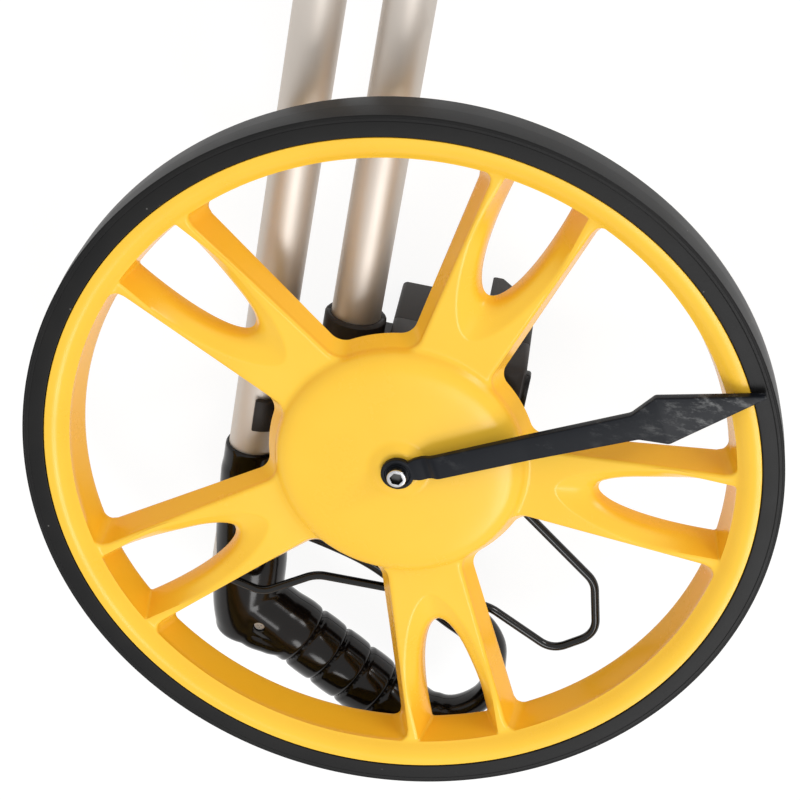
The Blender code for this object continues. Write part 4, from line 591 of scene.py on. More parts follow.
def tyre_profile():
    """Corners of the tyre's section as radius, height and rounding, in millimetres."""
    side = [(TYRE_RADIUS - inset, dip) for inset, dip in (
        (3.0, 0.0), (2.8, 0.18), (2.6, 0.02), (1.5, 0.02), (1.35, 0.12), (1.2, 0.05))]
    corners = [(TYRE_INNER, TYRE_BACK, 0.4)]
    corners += [(radius, TYRE_BACK + dip, 0.08) for radius, dip in side]
    corners += [(TYRE_RADIUS - 0.3, TYRE_BACK + 0.15, 0.45), (TYRE_RADIUS, TYRE_MIDDLE, 9.0),
                (TYRE_RADIUS - 0.3, TYRE_FRONT - 0.15, 0.45)]
    corners += [(radius, TYRE_FRONT - dip, 0.08) for radius, dip in side[::-1]]
    corners += [(TYRE_INNER, TYRE_FRONT, 0.4), (TYRE_INNER, TYRE_MIDDLE + KEY_HALF, 0.3),
                (KEY_FLOOR, TYRE_MIDDLE + KEY_HALF, 0.4), (KEY_FLOOR, TYRE_MIDDLE - KEY_HALF, 0.4),
                (TYRE_INNER, TYRE_MIDDLE - KEY_HALF, 0.3)]
    return rounded_row(corners, 4)


tyre_mesh = new_mesh("tyre_ring", [turned(tyre_profile(), 400)])
add_piece("tyre_ring", tyre_mesh, "tyre", rubber, 50.0)

# %% [markdown]
# ## The wheel: heights of its front
# Seen from the front, the height of the moulding depends only on the distance from the
# axle: a domed hub with a small nose, a web that climbs outwards, and a flat lip. Each is
# a simple function of the radius, and smooth maxima and minima join them with fillets.

# %% Wheel heights
SPOKES = 5
HALF_STEP = math.pi / SPOKES
SPOKE_TURN = math.radians(2.6)
WEB_BACK = -20.0
HUB_BACK = -22.5
RIM_BACK = -21.3
RIM_OUTER = 149.65
LIP_OUTER = 149.0
DOME_RADIUS = 53.3


def upper(first, second, blend):
    """Smooth maximum: half of the sum plus the root of the squared difference."""
    return (first + second + np.sqrt((first - second) ** 2 + blend ** 2)) / 2


def lower(first, second, blend):
    return -upper(-first, -second, blend)


def eased(value, start, end):
    """Smooth step from 0 to 1 between start and end."""
    share = np.clip((value - start) / (end - start), 0.0, 1.0)
    return share * share * (3 - 2 * share)


def front_height(radius):
    """Height of the front below the tyre's side: dome, web and lip by radius."""
    dome = -6.5 - 0.6 * (radius / DOME_RADIUS) ** 2 - 4.9 * (radius / DOME_RADIUS) ** 17
    dome = dome + 1.8 * (1 - eased(radius, 8.0, 13.5))
    web = -12.0 + 7.0 * (radius - DOME_RADIUS) / 86.7
    lip = -5.3 * np.clip((LIP_OUTER - radius) / 9.3, 0.0, 4.0) ** 2.2
    return lower(upper(upper(dome, web, 0.8), lip, 1.0), 0.0, 0.6)


def back_height(radius):
    """Height of the back: hub boss, flat web, and rim that stands a little lower."""
    boss = (HUB_BACK - WEB_BACK) * (1 - eased(radius, 14.6, 15.4))
    rim = (RIM_BACK - WEB_BACK) * eased(radius, 137.2, 140.8)
    return WEB_BACK + boss + rim


print("dome height at 40 mm:", round(float(front_height(np.array(40.0))), 2), "mm")

# %% [markdown]
# ## The wheel: outlines of its openings
# Five spaces lie between the spokes, and each spoke has a pointed window. An opening is
# wider at the front than at the back, so its outline is a function of the share of the
# way from back (0) to front (1), and of how far the outline has grown for a rounded edge.
# Everything is worked out for half a spoke, then mirrored and turned.

# %% Opening outlines


def rim_inside(share):
    """Inner radius of the rim's wall from back to front."""
    return 136.7 + 3.05 * share


def arc_points(centre, radius, start, end, count):
    return centre + radius * ray(np.linspace(start, end, count))


def pocket_half(share, grow, rows):
    """Half outline of the space beside a spoke, as its hub, side and rim stretches.

    The side is a straight line, and an arc that touches the line and the hub's or rim's
    circle rounds each end: its centre lies one radius off both.
    """
    hub = 57.0 - 3.7 * share - grow
    rim = rim_inside(share)
    root = 20.5 - 3.6 * share - grow
    slope = (26.8 - 3.9 * share - grow - root) / 80.0
    along = np.array([1.0, slope]) / math.hypot(1.0, slope)
    across = np.array([-along[1], along[0]])
    bends = []
    for radius, reach, sign in ((7.5, hub + 7.5, -1.0), (4.5, rim - 4.5, 1.0)):
        base = np.array([0.0, root - 60.0 * slope]) + across * radius
        run = base @ along
        centre = base + along * (math.sqrt(run ** 2 - base @ base + reach ** 2) - run)
        first = math.atan2(-across[1], -across[0])
        last = math.atan2(sign * centre[1], sign * centre[0])
        sweep = (last - first + math.pi) % math.tau - math.pi
        bends.append(arc_points(centre, radius, first, first + sweep, 25))
    line = np.concatenate([bends[0][12::-1], bends[1][:13]])
    place = line[0, 0] + (line[-1, 0] - line[0, 0]) * rows
    side = np.stack([place, np.interp(place, line[:, 0], line[:, 1])], -1)
    hub_angle, rim_angle = (polar(bend[-1])[1] for bend in bends)
    hub_arc = arc_points((0, 0), hub, hub_angle, HALF_STEP, 14)
    rim_arc = arc_points((0, 0), rim, rim_angle, HALF_STEP, 16)
    return (np.concatenate([bends[0][12::2], hub_arc[1:]]), side,
            np.concatenate([bends[1][12::3], rim_arc[1:]]))


def window_half(share, grow, count=44):
    """Half outline of a spoke's window: a pointed side and its end on the rim.

    The side's half width is the widest half times (1 - (1 - place) squared) to a power.
    """
    tip = 84.0 - 17.3 * share - grow
    half = 12.6 + 5.6 * share + grow
    rim = rim_inside(share)
    round_off = 1.4
    corner = math.sqrt(rim ** 2 - (half - round_off) ** 2)
    place = 1 - np.cos(np.linspace(0.0, math.pi / 2, count))
    width = half * (1 - (1 - place) ** 2) ** (0.5 + 0.07 * share)
    width = width * (1 + 0.10 * share * (1 - eased(place, 0.55, 1.0)))
    side = np.stack([tip + (corner - round_off - tip) * place, width], -1)
    bend = arc_points((corner - round_off, half - round_off), round_off, math.pi / 2, 0.0, 13)
    end = arc_points((0, 0), rim, math.atan2(half - round_off, corner), 0.0, 9)
    return np.concatenate([side, bend[1:7]]), np.concatenate([bend[6:], end[1:]])


# %% [markdown]
# ## The wheel: sheets and walls
# The front and the back are sheets of three blocks each: the hub, the spoke with its
# window's edge on one side, and the rim. Neighbouring blocks share their border points.
# The walls of the openings are strips between the front and back outlines, with a quarter
# round where they meet the front. A space's wall is straight. A window's wall stands nearly
# upright behind, bends softly, and runs as a shallow dish up to the outline in front.

# %% Wheel blocks
NECK_ROWS = 10
EDGE_POCKET = 1.7
EDGE_WINDOW = 1.6
HUB_RING = 45.0
STRAIGHT_WALL = np.linspace(1.0, 0.0, 9)[1:, None] * np.ones(2)
BEND = rounded_row([(0.0, 0.0, 0.0), (0.22, 0.68, 5.0), (1.0, 1.0, 0.0)], 9)
DISHED_WALL = np.concatenate([np.linspace(BEND[-1], BEND[-2], 5)[1:-1], BEND[-2::-1]])
HUB_RADII = np.array([5.7, 6.3, 7.2, 8.0, 8.7, 9.4, 10.2, 11.0, 11.8, 12.6, 13.6, 14.6, 15.0, 15.4,
                      17.0, 20.0, 23.0, 26.0, 29.0, 32.0, 35.0, 38.0, 40.5, 43.0, HUB_RING])


def spoke_row(share, window_edge, pocket_edge, rows=None):
    """The two sides of half a spoke, row by row from the hub to the rim."""
    side, end = window_half(share, window_edge)
    first = pocket_half(share, pocket_edge, np.zeros(1))[1][0]
    neck = np.linspace(math.hypot(*first), side[0, 0], NECK_ROWS, endpoint=False)
    left = np.concatenate([np.stack([neck, 0 * neck], -1), side])
    if rows is None:
        rows = (left[:, 0] - left[0, 0]) / (left[-1, 0] - left[0, 0])
    hub_part, right, rim_part = pocket_half(share, pocket_edge, rows)
    return left, right, end, hub_part, rim_part, rows


def between(first, second, shares):
    """Rows of points on straight lines from one border to the other."""
    shares = np.asarray(shares)[:, None, None]
    return first[None] * (1 - shares) + second[None] * shares


def sheet(share, window_edge, pocket_edge, height, rows, hub_angle, rim_angle, rim_ring):
    """The three blocks of the front or the back, with the angles of their outer circles."""
    left, right, end, hub_part, rim_part, rows = spoke_row(share, window_edge, pocket_edge, rows)
    spoke = np.swapaxes(between(left, right, np.linspace(0.0, 1.0, 15)), 0, 1)
    inner = np.concatenate([spoke[0], hub_part[1:]])
    outer = np.concatenate([end[::-1], spoke[-1][1:], rim_part[1:]])
    if hub_angle is None:
        hub_angle, rim_angle = polar(inner)[1], polar(outer)[1]
    circle = ray(hub_angle)
    hub = np.concatenate([HUB_RADII[:-1, None, None] * circle,
                          between(HUB_RING * circle, inner, np.linspace(0.0, 1.0, 13))])
    rim = between(outer, rim_ring * ray(rim_angle), np.linspace(0.0, 1.0, 10))
    blocks = [lifted(block, height(polar(block)[0])) for block in (hub, spoke, rim)]
    return blocks, rows, hub_angle, rim_angle


def wall(outline, edge, back_edge, steps, turn):
    """A wall from the front sheet's border over a rounded edge down to the back.

    The steps are rows of two shares: of the way in to the front outline, and of the height.
    Near the rim the second share fades into the first, so that the rim's wall is straight.
    """
    levels = []
    bend = edge / math.sin(turn)
    for angle in np.linspace(0.0, turn, 6):
        flat = outline(1.0, edge - bend * math.sin(angle))
        top = front_height(polar(flat)[0]) - bend * (1 - math.cos(angle))
        levels.append(lifted(flat, top))
    low = WEB_BACK + back_edge
    for share, climb in steps:
        flat = outline(share, 0.0)
        straight = eased(polar(flat)[0], 100.0, 137.0)
        levels.append(lifted(flat, low + (top - low) * (climb + (share - climb) * straight)))
    for angle in np.linspace(0.0, math.pi / 2, 4)[1:]:
        flat = outline(0.0, back_edge * (1 - math.cos(angle)))
        levels.append(lifted(flat, low - back_edge * math.sin(angle)))
    return np.stack(levels)


# %% [markdown]
# ## The wheel: rim, bore and hollows
# The rim's outside and the hub's bore are profiles that run on from the front sheet to
# the back one. The hollows that keep a moulding's walls even are cut into the back
# afterwards, together with the six-sided seat of the drive gear.

# %% Wheel assembly
BACK_EDGE = 0.5
FRONT_RING = 145.0
RIM_FRONT = np.array([146.0, 147.0, 148.0, 148.7])
RIM_PROFILE = np.concatenate([lifted(RIM_FRONT[:, None], front_height(RIM_FRONT)), rounded_row([
    (LIP_OUTER, -0.27, 0.0), (RIM_OUTER, -0.27, 0.6), (RIM_OUTER, -6.95, 0.2), (146.35, -6.95, 0.3),
    (146.35, -14.35, 0.3), (RIM_OUTER, -14.35, 0.2), (RIM_OUTER, RIM_BACK, 0.7),
    (141.0, RIM_BACK, 0.0),
])])


def half_spoke():
    """Every surface of half a spoke's sector, as a list of grids."""
    front, rows, hub_angle, rim_angle = sheet(
        1.0, EDGE_WINDOW, EDGE_POCKET, front_height, None, None, None, FRONT_RING)
    back = sheet(0.0, BACK_EDGE, BACK_EDGE, back_height, rows, hub_angle, rim_angle, 141.0)[0]

    def pocket_loop(share, grow):
        hub_part, side, rim_part = pocket_half(share, grow, rows)
        return np.concatenate([hub_part[::-1], side[1:], rim_part[1:]])

    def window_loop(share, grow):
        side, end = window_half(share, grow)
        return np.concatenate([side, end[1:]])

    circle = ray(rim_angle)[None]
    front_ring = lifted(FRONT_RING * circle, front_height(FRONT_RING))
    rim = lifted(RIM_PROFILE[:, 0, None, None] * circle, RIM_PROFILE[:, 1, None])
    bore = np.stack([front[0][0], back[0][0]])
    walls = [wall(pocket_loop, EDGE_POCKET, BACK_EDGE, STRAIGHT_WALL, math.pi / 2),
             wall(window_loop, EDGE_WINDOW, BACK_EDGE, DISHED_WALL, math.radians(20.0))]
    return front + back + [np.concatenate([front_ring, rim]), bore] + walls


def around(points):
    """The ten copies of half a sector: mirrored, and turned from spoke to spoke."""
    points = points + (0.0, 0.0, TYRE_FRONT)
    return [spun(points * (1.0, mirror, 1.0), SPOKE_TURN + 2 * HALF_STEP * spoke)
            for spoke in range(SPOKES) for mirror in (1.0, -1.0)]


moulding = new_mesh("wheel_moulding", [(copy, grid_cells(*block.shape[:2]))
                                       for block in half_spoke() for copy in around(block)])


print("wheel before its hollows:", len(moulding.vertices), "points")

# %% Hollows in the wheel's back


def hollow(outline, top):
    """The rows of a tapered cutter over an outline in the spoke's frame."""
    middle = outline.mean(0)
    return np.stack([lifted(middle + (outline - middle) * share, height) for share, height in (
        (1.03, WEB_BACK - 2.0), (1.03, WEB_BACK - 0.01), (0.99, WEB_BACK + 0.6),
        (0.82, top - 0.9), (0.76, top - 0.2), (0.60, top))])


def branch_middle(along):
    """Middle of a branch's back at a distance from the axle."""
    place = (along - 84.0) / (133.7 - 84.0)
    return (12.6 * math.sqrt(1 - (1 - place) ** 2) + 20.5 + 6.3 * (along - 60.0) / 80.0) / 2


def hub_hollow():
    """The space between two radial ribs behind the dome, from radius 18 to 49.5."""
    inner, outer = HALF_STEP / 2 - 1.3 / 18.0, HALF_STEP / 2 - 1.3 / 49.5
    ring = np.concatenate([arc_points((0, 0), 18.0, inner, -inner, 5),
                           arc_points((0, 0), 49.5, -outer, outer, 13)])
    return hollow(ring, -12.8)


def cutter_mesh():
    """All the hollows in one mesh: behind the hub, the necks and the branches."""
    parts = [(hub_hollow(), half_steps + 0.5) for half_steps in range(2 * SPOKES)]
    neck = rounded_row([(60.0, -12.5, 1.5), (69.0, -12.5, 1.5),
                        (69.0, 12.5, 1.5), (60.0, 12.5, 1.5)], 3)
    near, far = branch_middle(96.0), branch_middle(133.5)
    for half_steps in range(0, 2 * SPOKES, 2):
        parts.append((hollow(neck, -15.2), half_steps))
        for side in (1.0, -1.0):
            branch = rounded_row([
                (96.0, side * (near - 1.8), 0.8), (133.5, side * (far - 3.6), 1.2),
                (133.5, side * (far + 3.6), 1.2), (96.0, side * (near + 1.8), 0.8)], 3)
            parts.append((hollow(branch, -12.5), half_steps))
    grids = [closed_sweep(spun(rows + (0.0, 0.0, TYRE_FRONT), SPOKE_TURN + HALF_STEP * half_steps))
             for rows, half_steps in parts]
    return new_mesh("hollows", grids + [cylinder(6.9, TYRE_FRONT - 24.0, TYRE_FRONT - 19.2, 6)])


add_piece("wheel_moulding", boolean(moulding, cutter_mesh()), "wheel", yellow,
          38.0)

# %% [markdown]
# ## The pointer
# A flat arrow that climbs from a small boss on the axle, out over the web and the rim, so
# that its tip passes close over the tyre. Half width, front and back heights are given at
# a few places along it, smoothed, and a rounded rectangle is carried along them.

# %% Pointer
POINTER_TURN = math.radians(27.6)
POINTER_REACH = 155.5
CLIMB = (0.084, 0.104, 0.36, 0.655)


def smoothed(values, width):
    """A moving average over an odd number of neighbours, with the ends held."""
    pad = width // 2
    padded = np.concatenate([np.full(pad, values[0]), values, np.full(pad, values[-1])])
    return np.convolve(padded, np.ones(width) / width, "valid")


def pointer_arm():
    """Rounded rectangle along the arm: sides at plus and minus half, bevelled edges."""
    along = np.linspace(0.0367, 1.0, 260)
    half = np.interp(along, (0.0367, 0.055, 0.09, 0.105, 0.36, 0.655, 0.728, 1.0),
                     (4.2, 5.1, 5.1, 5.2, 5.2, 5.7, 10.9, 0.6))
    front = smoothed(np.interp(along, CLIMB, (84.5, 87.0, 88.3, 90.7)), 5)
    back = smoothed(np.interp(along, CLIMB, (82.0, 84.0, 84.4, 86.8)), 5)
    half = smoothed(half, 3)[:, None]
    edge = np.minimum(0.55, half * 0.6)
    middle = ((front + back) / 2)[:, None]
    depth = ((front - back) / 2)[:, None]
    corner = np.repeat(np.arange(4), 5)
    turn = (corner + np.tile(np.linspace(0.0, 1.0, 5), 4)) * math.pi / 2
    beside = np.where((corner == 0) | (corner == 3), 1.0, -1.0)
    above = np.where(corner < 2, 1.0, -1.0)
    across = beside * (half - edge) + edge * np.cos(turn)
    height = middle + above * (depth - edge) + edge * np.sin(turn)
    return np.stack([np.repeat(along[:, None] * POINTER_REACH, 20, 1), across, height], -1)


def pointer_mesh():
    boss = rounded_row([(1.9, 82.0, 0.2), (7.05, 82.0, 0.4), (7.05, 84.5, 0.6), (5.5, 84.5, 0.1),
                        (5.2, 83.9, 0.1), (4.7, 83.9, 0.1), (4.5, 84.4, 0.1), (1.9, 84.4, 0.1)], 4)
    arm = new_mesh("arm", [closed_sweep(spun(pointer_arm(), POINTER_TURN))])
    return boolean(arm, new_mesh("boss", [turned(boss, 64)]), "UNION")


add_piece("pointer_arrow", pointer_mesh(), "pointer", pointer_finish)

# %% [markdown]
# ## The bolt
# A plated bolt with a six-sided socket holds the pointer. Its head is turned, with a
# rounded edge, and the socket is cut into it. The faces inside the socket are painted
# near-black, a painted shade for the deep recess.

# %% Bolt
HEAD_TOP = 88.1
SOCKET_FLOOR = 85.9
SOCKET_RADIUS = 2.9


def bolt_mesh():
    head = [(0.0, 70.8, 0.0), (1.6, 70.8, 0.0), (1.6, 84.8, 0.0), (4.1, 84.8, 0.2),
            (4.1, HEAD_TOP, 0.7), (SOCKET_RADIUS, HEAD_TOP, 0.2), (0.0, HEAD_TOP, 0.0)]
    bolt = new_mesh("bolt", [turned(rounded_row(head, 5), 72, closed=False)])
    return boolean(bolt, new_mesh("socket", [cylinder(SOCKET_RADIUS, SOCKET_FLOOR, 90.0, 6)]))


bolt = add_piece("socket_bolt", bolt_mesh(), "axle_bolt", bright_finish, 35.0)
# Faces inside the socket take the second finish, a near-black painted shade.
bolt.data.materials.append(socket_finish)
for face in bolt.data.polygons:
    x, y, z = face.center / MM
    inside = math.hypot(x, y) < SOCKET_RADIUS + 0.05 and SOCKET_FLOOR - 0.1 < z < HEAD_TOP - 0.05
    face.material_index = int(inside)

# %% [markdown]
# ## Tubes
# Two drawn tubes lie side by side, one fixed and one folded down. Each is a thin wall
# turned about its own axis, with its ends lightly rounded.

# %% Tubes
TUBE_LEVEL = 36.5
LOWER_TUBE_X = -31.0
UPPER_TUBE_X = -66.2
TUBE_TOP = 378.0
for name, across, bottom in (
    ("lower_tube", LOWER_TUBE_X, -18.0), ("upper_tube", UPPER_TUBE_X, -90.0),
):
    section = rounded_row([(9.4, bottom, 0.2), (10.6, bottom, 0.3),
                           (10.6, TUBE_TOP, 0.3), (9.4, TUBE_TOP, 0.2)], 3)
    tube = new_mesh(name + "_drawn", [turned(section, 96, (across, TUBE_LEVEL), "Y")])
    add_piece(name + "_drawn", tube, name, tube_finish)

# %% [markdown]
# ## The kickstand
# One length of enamelled wire, bent eight times. A route of corners is bent by curves,
# and a circle is carried along it, so the wire keeps its thickness through each bend.

# %% Kickstand
WIRE_LEVEL = 57.5
WIRE_RADIUS = 1.9
WIRE_CORNERS = [
    (50.5, -17.0, 44.0, 0.0), (50.5, -17.0, WIRE_LEVEL, 3.0), (93.1, -49.8, WIRE_LEVEL, 10.0),
    (99.3, -76.4, WIRE_LEVEL, 12.0), (82.0, -89.3, WIRE_LEVEL, 11.0),
    (50.3, -73.4, WIRE_LEVEL, 16.0), (-27.7, -74.8, WIRE_LEVEL, 16.0),
    (-49.8, -89.8, WIRE_LEVEL, 11.0), (-71.9, -84.2, WIRE_LEVEL, 11.0),
    (-85.0, -95.0, WIRE_LEVEL, 0.0),
]


def bent_route(corners):
    """A route in space through corners (x, y, z, radius), each bent by a curve."""
    places = np.array([corner[:3] for corner in corners])
    bends = [corner_curve(*places[index - 1:index + 2], corners[index][3], 12, 4.5, 0.48)
             for index in range(1, len(corners) - 1)]
    return np.concatenate([places[:1], *bends, places[-1:]])


def swept(path, halves, depths, sides):
    """An oval section carried along a path: path + side*half*cos + up*depth*sin.

    The side direction is the cross product of the last up direction and the path, so the
    section turns as little as it can.
    """
    ahead = np.gradient(path, axis=0)
    ahead /= np.linalg.norm(ahead, axis=1, keepdims=True)
    up = np.array([0.0, 0.0, 1.0]) if abs(ahead[0, 2]) < 0.9 else np.array([0.0, 1.0, 0.0])
    frames = []
    for direction in ahead:
        beside = np.cross(up, direction)
        beside /= np.linalg.norm(beside)
        up = np.cross(direction, beside)
        frames.append((beside, up))
    beside, up = np.array(frames).transpose(1, 0, 2)
    circle = ray(np.linspace(0.0, math.tau, sides, endpoint=False))
    halves, depths = (np.broadcast_to(size, len(path))[:, None, None] for size in (halves, depths))
    return closed_sweep(path[:, None] + beside[:, None] * halves * circle[:, :1]
                        + up[:, None] * depths * circle[:, 1:])


def wire_mesh():
    """The bent wire, with its free end rounded over the last four steps."""
    route = bent_route(WIRE_CORNERS)
    rounding = np.linspace(0.0, math.pi / 2, 5)[1:, None]
    ahead = (route[-1] - route[-2]) / np.linalg.norm(route[-1] - route[-2]) * WIRE_RADIUS
    route[-1] -= ahead
    path = np.concatenate([route, route[-1] + ahead * np.sin(rounding)])
    halves = np.full(len(path), WIRE_RADIUS)
    halves[len(route):] = WIRE_RADIUS * np.cos(rounding[:, 0]) + 0.02
    return new_mesh("bent_wire", [swept(path, halves, halves, 20)])


add_piece("bent_wire", wire_mesh(), "kickstand", wire_finish, 50.0)

# %% [markdown]
# ## The grip
# The grip is a hollow moulding in two halves: a head round the tube, a handle with five
# grooves, and a closed guard. Four swept forms overlap, and a voxel Remesh melts them
# into one skin with soft fillets. The swellings and the grooves are then pressed into the
# skin by moving its points along the handle's radius, and the skin is parted into halves.

# %% Grip forms
HANDLE_START = np.array([-56.0, -108.0, TUBE_LEVEL])
HANDLE_TURN = math.radians(-30.5)
HANDLE_RUN = np.array([math.cos(HANDLE_TURN), math.sin(HANDLE_TURN), 0.0])
HANDLE_LENGTH = 122.0
HANDLE_STRAIGHT = 104.6


def smooth_row(points, count):
    """Points on a smooth curve through the given rows (a Catmull-Rom curve)."""
    rows = np.asarray(points, float)
    rows = np.concatenate([rows[:1] * 2 - rows[1:2], rows, rows[-1:] * 2 - rows[-2:-1]])
    place = np.linspace(0.0, len(rows) - 3.000001, count)
    start = place.astype(int)
    share = (place - start)[:, None]
    before, here, after, beyond = (rows[start + step] for step in range(4))
    square = before * 2 - here * 5 + after * 4 - beyond
    cube = here * 3 - before - after * 3 + beyond
    return here + ((after - before) * share + square * share ** 2 + cube * share ** 3) / 2


def head_form():
    """Stations of the head: share of length, shift, half width and half depth."""
    stations = smooth_row([
        (0.000, 0.00, 0.73, 0.81), (0.090, 0.00, 0.73, 0.81), (0.115, 0.02, 0.77, 0.84),
        (0.230, 0.17, 0.82, 0.89), (0.370, 0.42, 0.92, 0.95), (0.510, 0.65, 1.00, 0.99),
        (0.650, 0.76, 0.99, 1.00), (0.760, 0.82, 0.94, 0.98), (0.850, 0.93, 0.88, 0.93),
        (0.900, 0.92, 0.82, 0.84), (0.928, 0.91, 0.70, 0.68), (0.940, 0.90, 0.52, 0.45)], 90)
    path = np.stack([UPPER_TUBE_X + 9.6 * stations[:, 1], -27.0 - 108.6 * stations[:, 0]], -1)
    return swept(lifted(path, TUBE_LEVEL), 16.6 * stations[:, 2], 15.0 * stations[:, 3], 48)


def corner_form():
    """A short form in the corner below head and handle, so that they merge in one line."""
    rows = smooth_row([(-60.0, -122.8, 6.0, 10.0), (-54.0, -123.4, 8.8, 13.2),
                       (-46.0, -124.4, 8.8, 14.0), (-38.0, -124.6, 7.5, 14.0)], 30)
    return swept(lifted(rows[:, :2], TUBE_LEVEL), rows[:, 2], rows[:, 3], 32)


def handle_form():
    """A straight bar with a rounded end, which the grooves are pressed into later."""
    tail = 15.0 * np.sin(np.linspace(0.05, 1.5, 14))
    place = np.concatenate([np.linspace(0.0, HANDLE_STRAIGHT, 60), HANDLE_STRAIGHT + tail])
    shrink = np.sqrt(1 - np.clip((place - HANDLE_STRAIGHT) / 15.2, 0.0, 1.0) ** 2 * 0.97)
    return swept(HANDLE_START + place[:, None] * HANDLE_RUN, 14.8 * shrink, 14.5 * shrink, 48)


def guard_form():
    """The guard's bar, in shares of the handle's length, widening beside its end."""
    route = smooth_row([
        (0.016, 0.385, 1.0), (0.254, 0.336, 1.0), (0.426, 0.282, 1.0), (0.590, 0.193, 1.1),
        (0.741, 0.110, 1.3), (0.840, 0.070, 1.7), (0.914, 0.000, 1.5), (0.947, -0.082, 1.1),
        (0.953, -0.164, 1.0), (0.922, -0.254, 1.1), (0.836, -0.324, 1.1), (0.721, -0.340, 1.1),
    ], 120)
    path = HANDLE_START[:2] + HANDLE_LENGTH * route[:, :2]
    return swept(lifted(path, TUBE_LEVEL), 5.0 * route[:, 2], 8.0, 32)


# %% Grip skin
VOXEL = 0.8
GROOVE_START = 31.0
GROOVE_PITCH = 14.5


def press_grooves(mesh):
    """Moves the handle's points in and out: a swelling between grooves, and the grooves.

    The move is the bulge times a flattened half sine between two grooves, less the depth
    times a bell curve over each groove.
    """
    points = np.empty(len(mesh.vertices) * 3)
    mesh.vertices.foreach_get("co", points)
    points = points.reshape(-1, 3) / MM
    offset = points - HANDLE_START
    along = offset @ HANDLE_RUN
    radial = offset - along[:, None] * HANDLE_RUN
    distance = np.linalg.norm(radial, axis=1)
    pitch = (along - GROOVE_START) / GROOVE_PITCH
    groove = np.exp(-((pitch - np.clip(np.round(pitch), 0, 4)) * GROOVE_PITCH) ** 2)
    swell = np.abs(np.sin(np.clip(pitch, -1.0, 5.0) * math.pi)) ** 0.35
    on_handle = (1 - eased(distance, 16.5, 19.0)) * (along > 12.0)
    fade = eased(along, 14.0, 26.0) * (1 - eased(along, 98.0, 108.0))
    move = (0.8 * swell - 1.3 * groove) * fade * on_handle
    points += radial / np.maximum(distance, 0.1)[:, None] * move[:, None]
    mesh.vertices.foreach_set("co", (points * MM).ravel())
    mesh.update()
    return mesh


def grip_skin():
    """One skin over the four forms, grooved, with the tube's bore and the screw holes cut."""
    forms = new_mesh("grip_forms", [head_form(), corner_form(), handle_form(), guard_form()])
    skin = press_grooves(modified(forms, ("REMESH", {"mode": "VOXEL", "voxel_size": VOXEL * MM}),
                                  ("SMOOTH", {"factor": 0.5, "iterations": 8})))
    cutters = [cylinder(10.9, -90.3, -20.0, 64, (UPPER_TUBE_X, TUBE_LEVEL), "Y")]
    for share in ((0.053, -0.053), (0.787, -0.426)):
        middle = HANDLE_START[:2] + HANDLE_LENGTH * np.array(share)
        cutters += [cylinder(2.8, 47.2, 60.0, 32, middle), cylinder(1.6, 28.5, 50.0, 20, middle)]
    for cutter in cutters:
        skin = boolean(skin, new_mesh("cutter", [cutter]))
    return skin


def half_of(mesh, level, keep_above):
    """The part of a closed skin above or below a level, closed again with a flat face."""
    made = mesh.copy()
    with edited(made) as edit:
        cut = bmesh.ops.bisect_plane(
            edit, geom=edit.verts[:] + edit.edges[:] + edit.faces[:], plane_co=(0, 0, level * MM),
            plane_no=(0, 0, 1), clear_inner=keep_above, clear_outer=not keep_above)
        rim = [item for item in cut["geom_cut"] if isinstance(item, bmesh.types.BMEdge)]
        bmesh.ops.triangle_fill(edit, edges=rim, use_beauty=True,
                                normal=(0, 0, -1 if keep_above else 1))
        bmesh.ops.recalc_face_normals(edit, faces=edit.faces)
    return made


skin = grip_skin()
for node, lift in (("grip_front", 0.15), ("grip_rear", -0.15)):
    half = half_of(skin, TUBE_LEVEL + lift, lift > 0)
    add_piece(node + "_half", half, node, grip_finish, 50.0)

# %% [markdown]
# ## Softer edges on the remaining mouldings
# The housing, the clip and the brackets have the right shape in the solids, but their
# edges are sharp, and a sharp edge never catches the light. A copy of each solid is
# merged, its flat faces are joined, and a narrow Bevel rounds its edges.

# %% Softened solids


def softened(node, width, finish):
    """A copy of a solid with its edges rounded to a width, in place of the solid."""
    mesh = frame["nodes"][node].data.copy()
    with edited(mesh) as edit:
        bmesh.ops.remove_doubles(edit, verts=edit.verts, dist=0.000004)
        bmesh.ops.dissolve_limit(edit, angle_limit=math.radians(0.4), verts=edit.verts,
                                 edges=edit.edges)
    mesh = modified(mesh, ("BEVEL", {"width": width * MM, "segments": 3, "limit_method": "ANGLE",
                                     "angle_limit": math.radians(32.0)}))
    add_piece(node + "_soft", mesh, node, finish, 34.0)


for node, width, finish, slot in (
    ("housing_front", 0.45, housing_finish, "housing_plastic"),
    ("housing_rear", 0.45, housing_finish, "housing_plastic"),
    ("tube_clip", 0.5, housing_finish, "housing_plastic"),
    ("reset_button", 0.35, button_finish, "grip_plastic"),
    ("lower_fold_bracket", 0.4, button_finish, "grip_plastic"),
    ("upper_fold_bracket", 0.4, button_finish, "grip_plastic"),
    ("fold_nut", 0.3, steel_finish, "steel"),
    ("fold_lock_button", 0.3, button_finish, "grip_plastic"),
):
    softened(node, width, finish)

# %% [markdown]
# ## Figures on the drums
# Each drum carries the figures 0 to 9. Text is made a mesh first, and then its flat points
# are wrapped round the drum: the distance up a figure becomes an angle.

# %% Figures
DRUM_MIDDLE = np.array([11.0, 35.4])
DRUM_RADIUS = 10.0


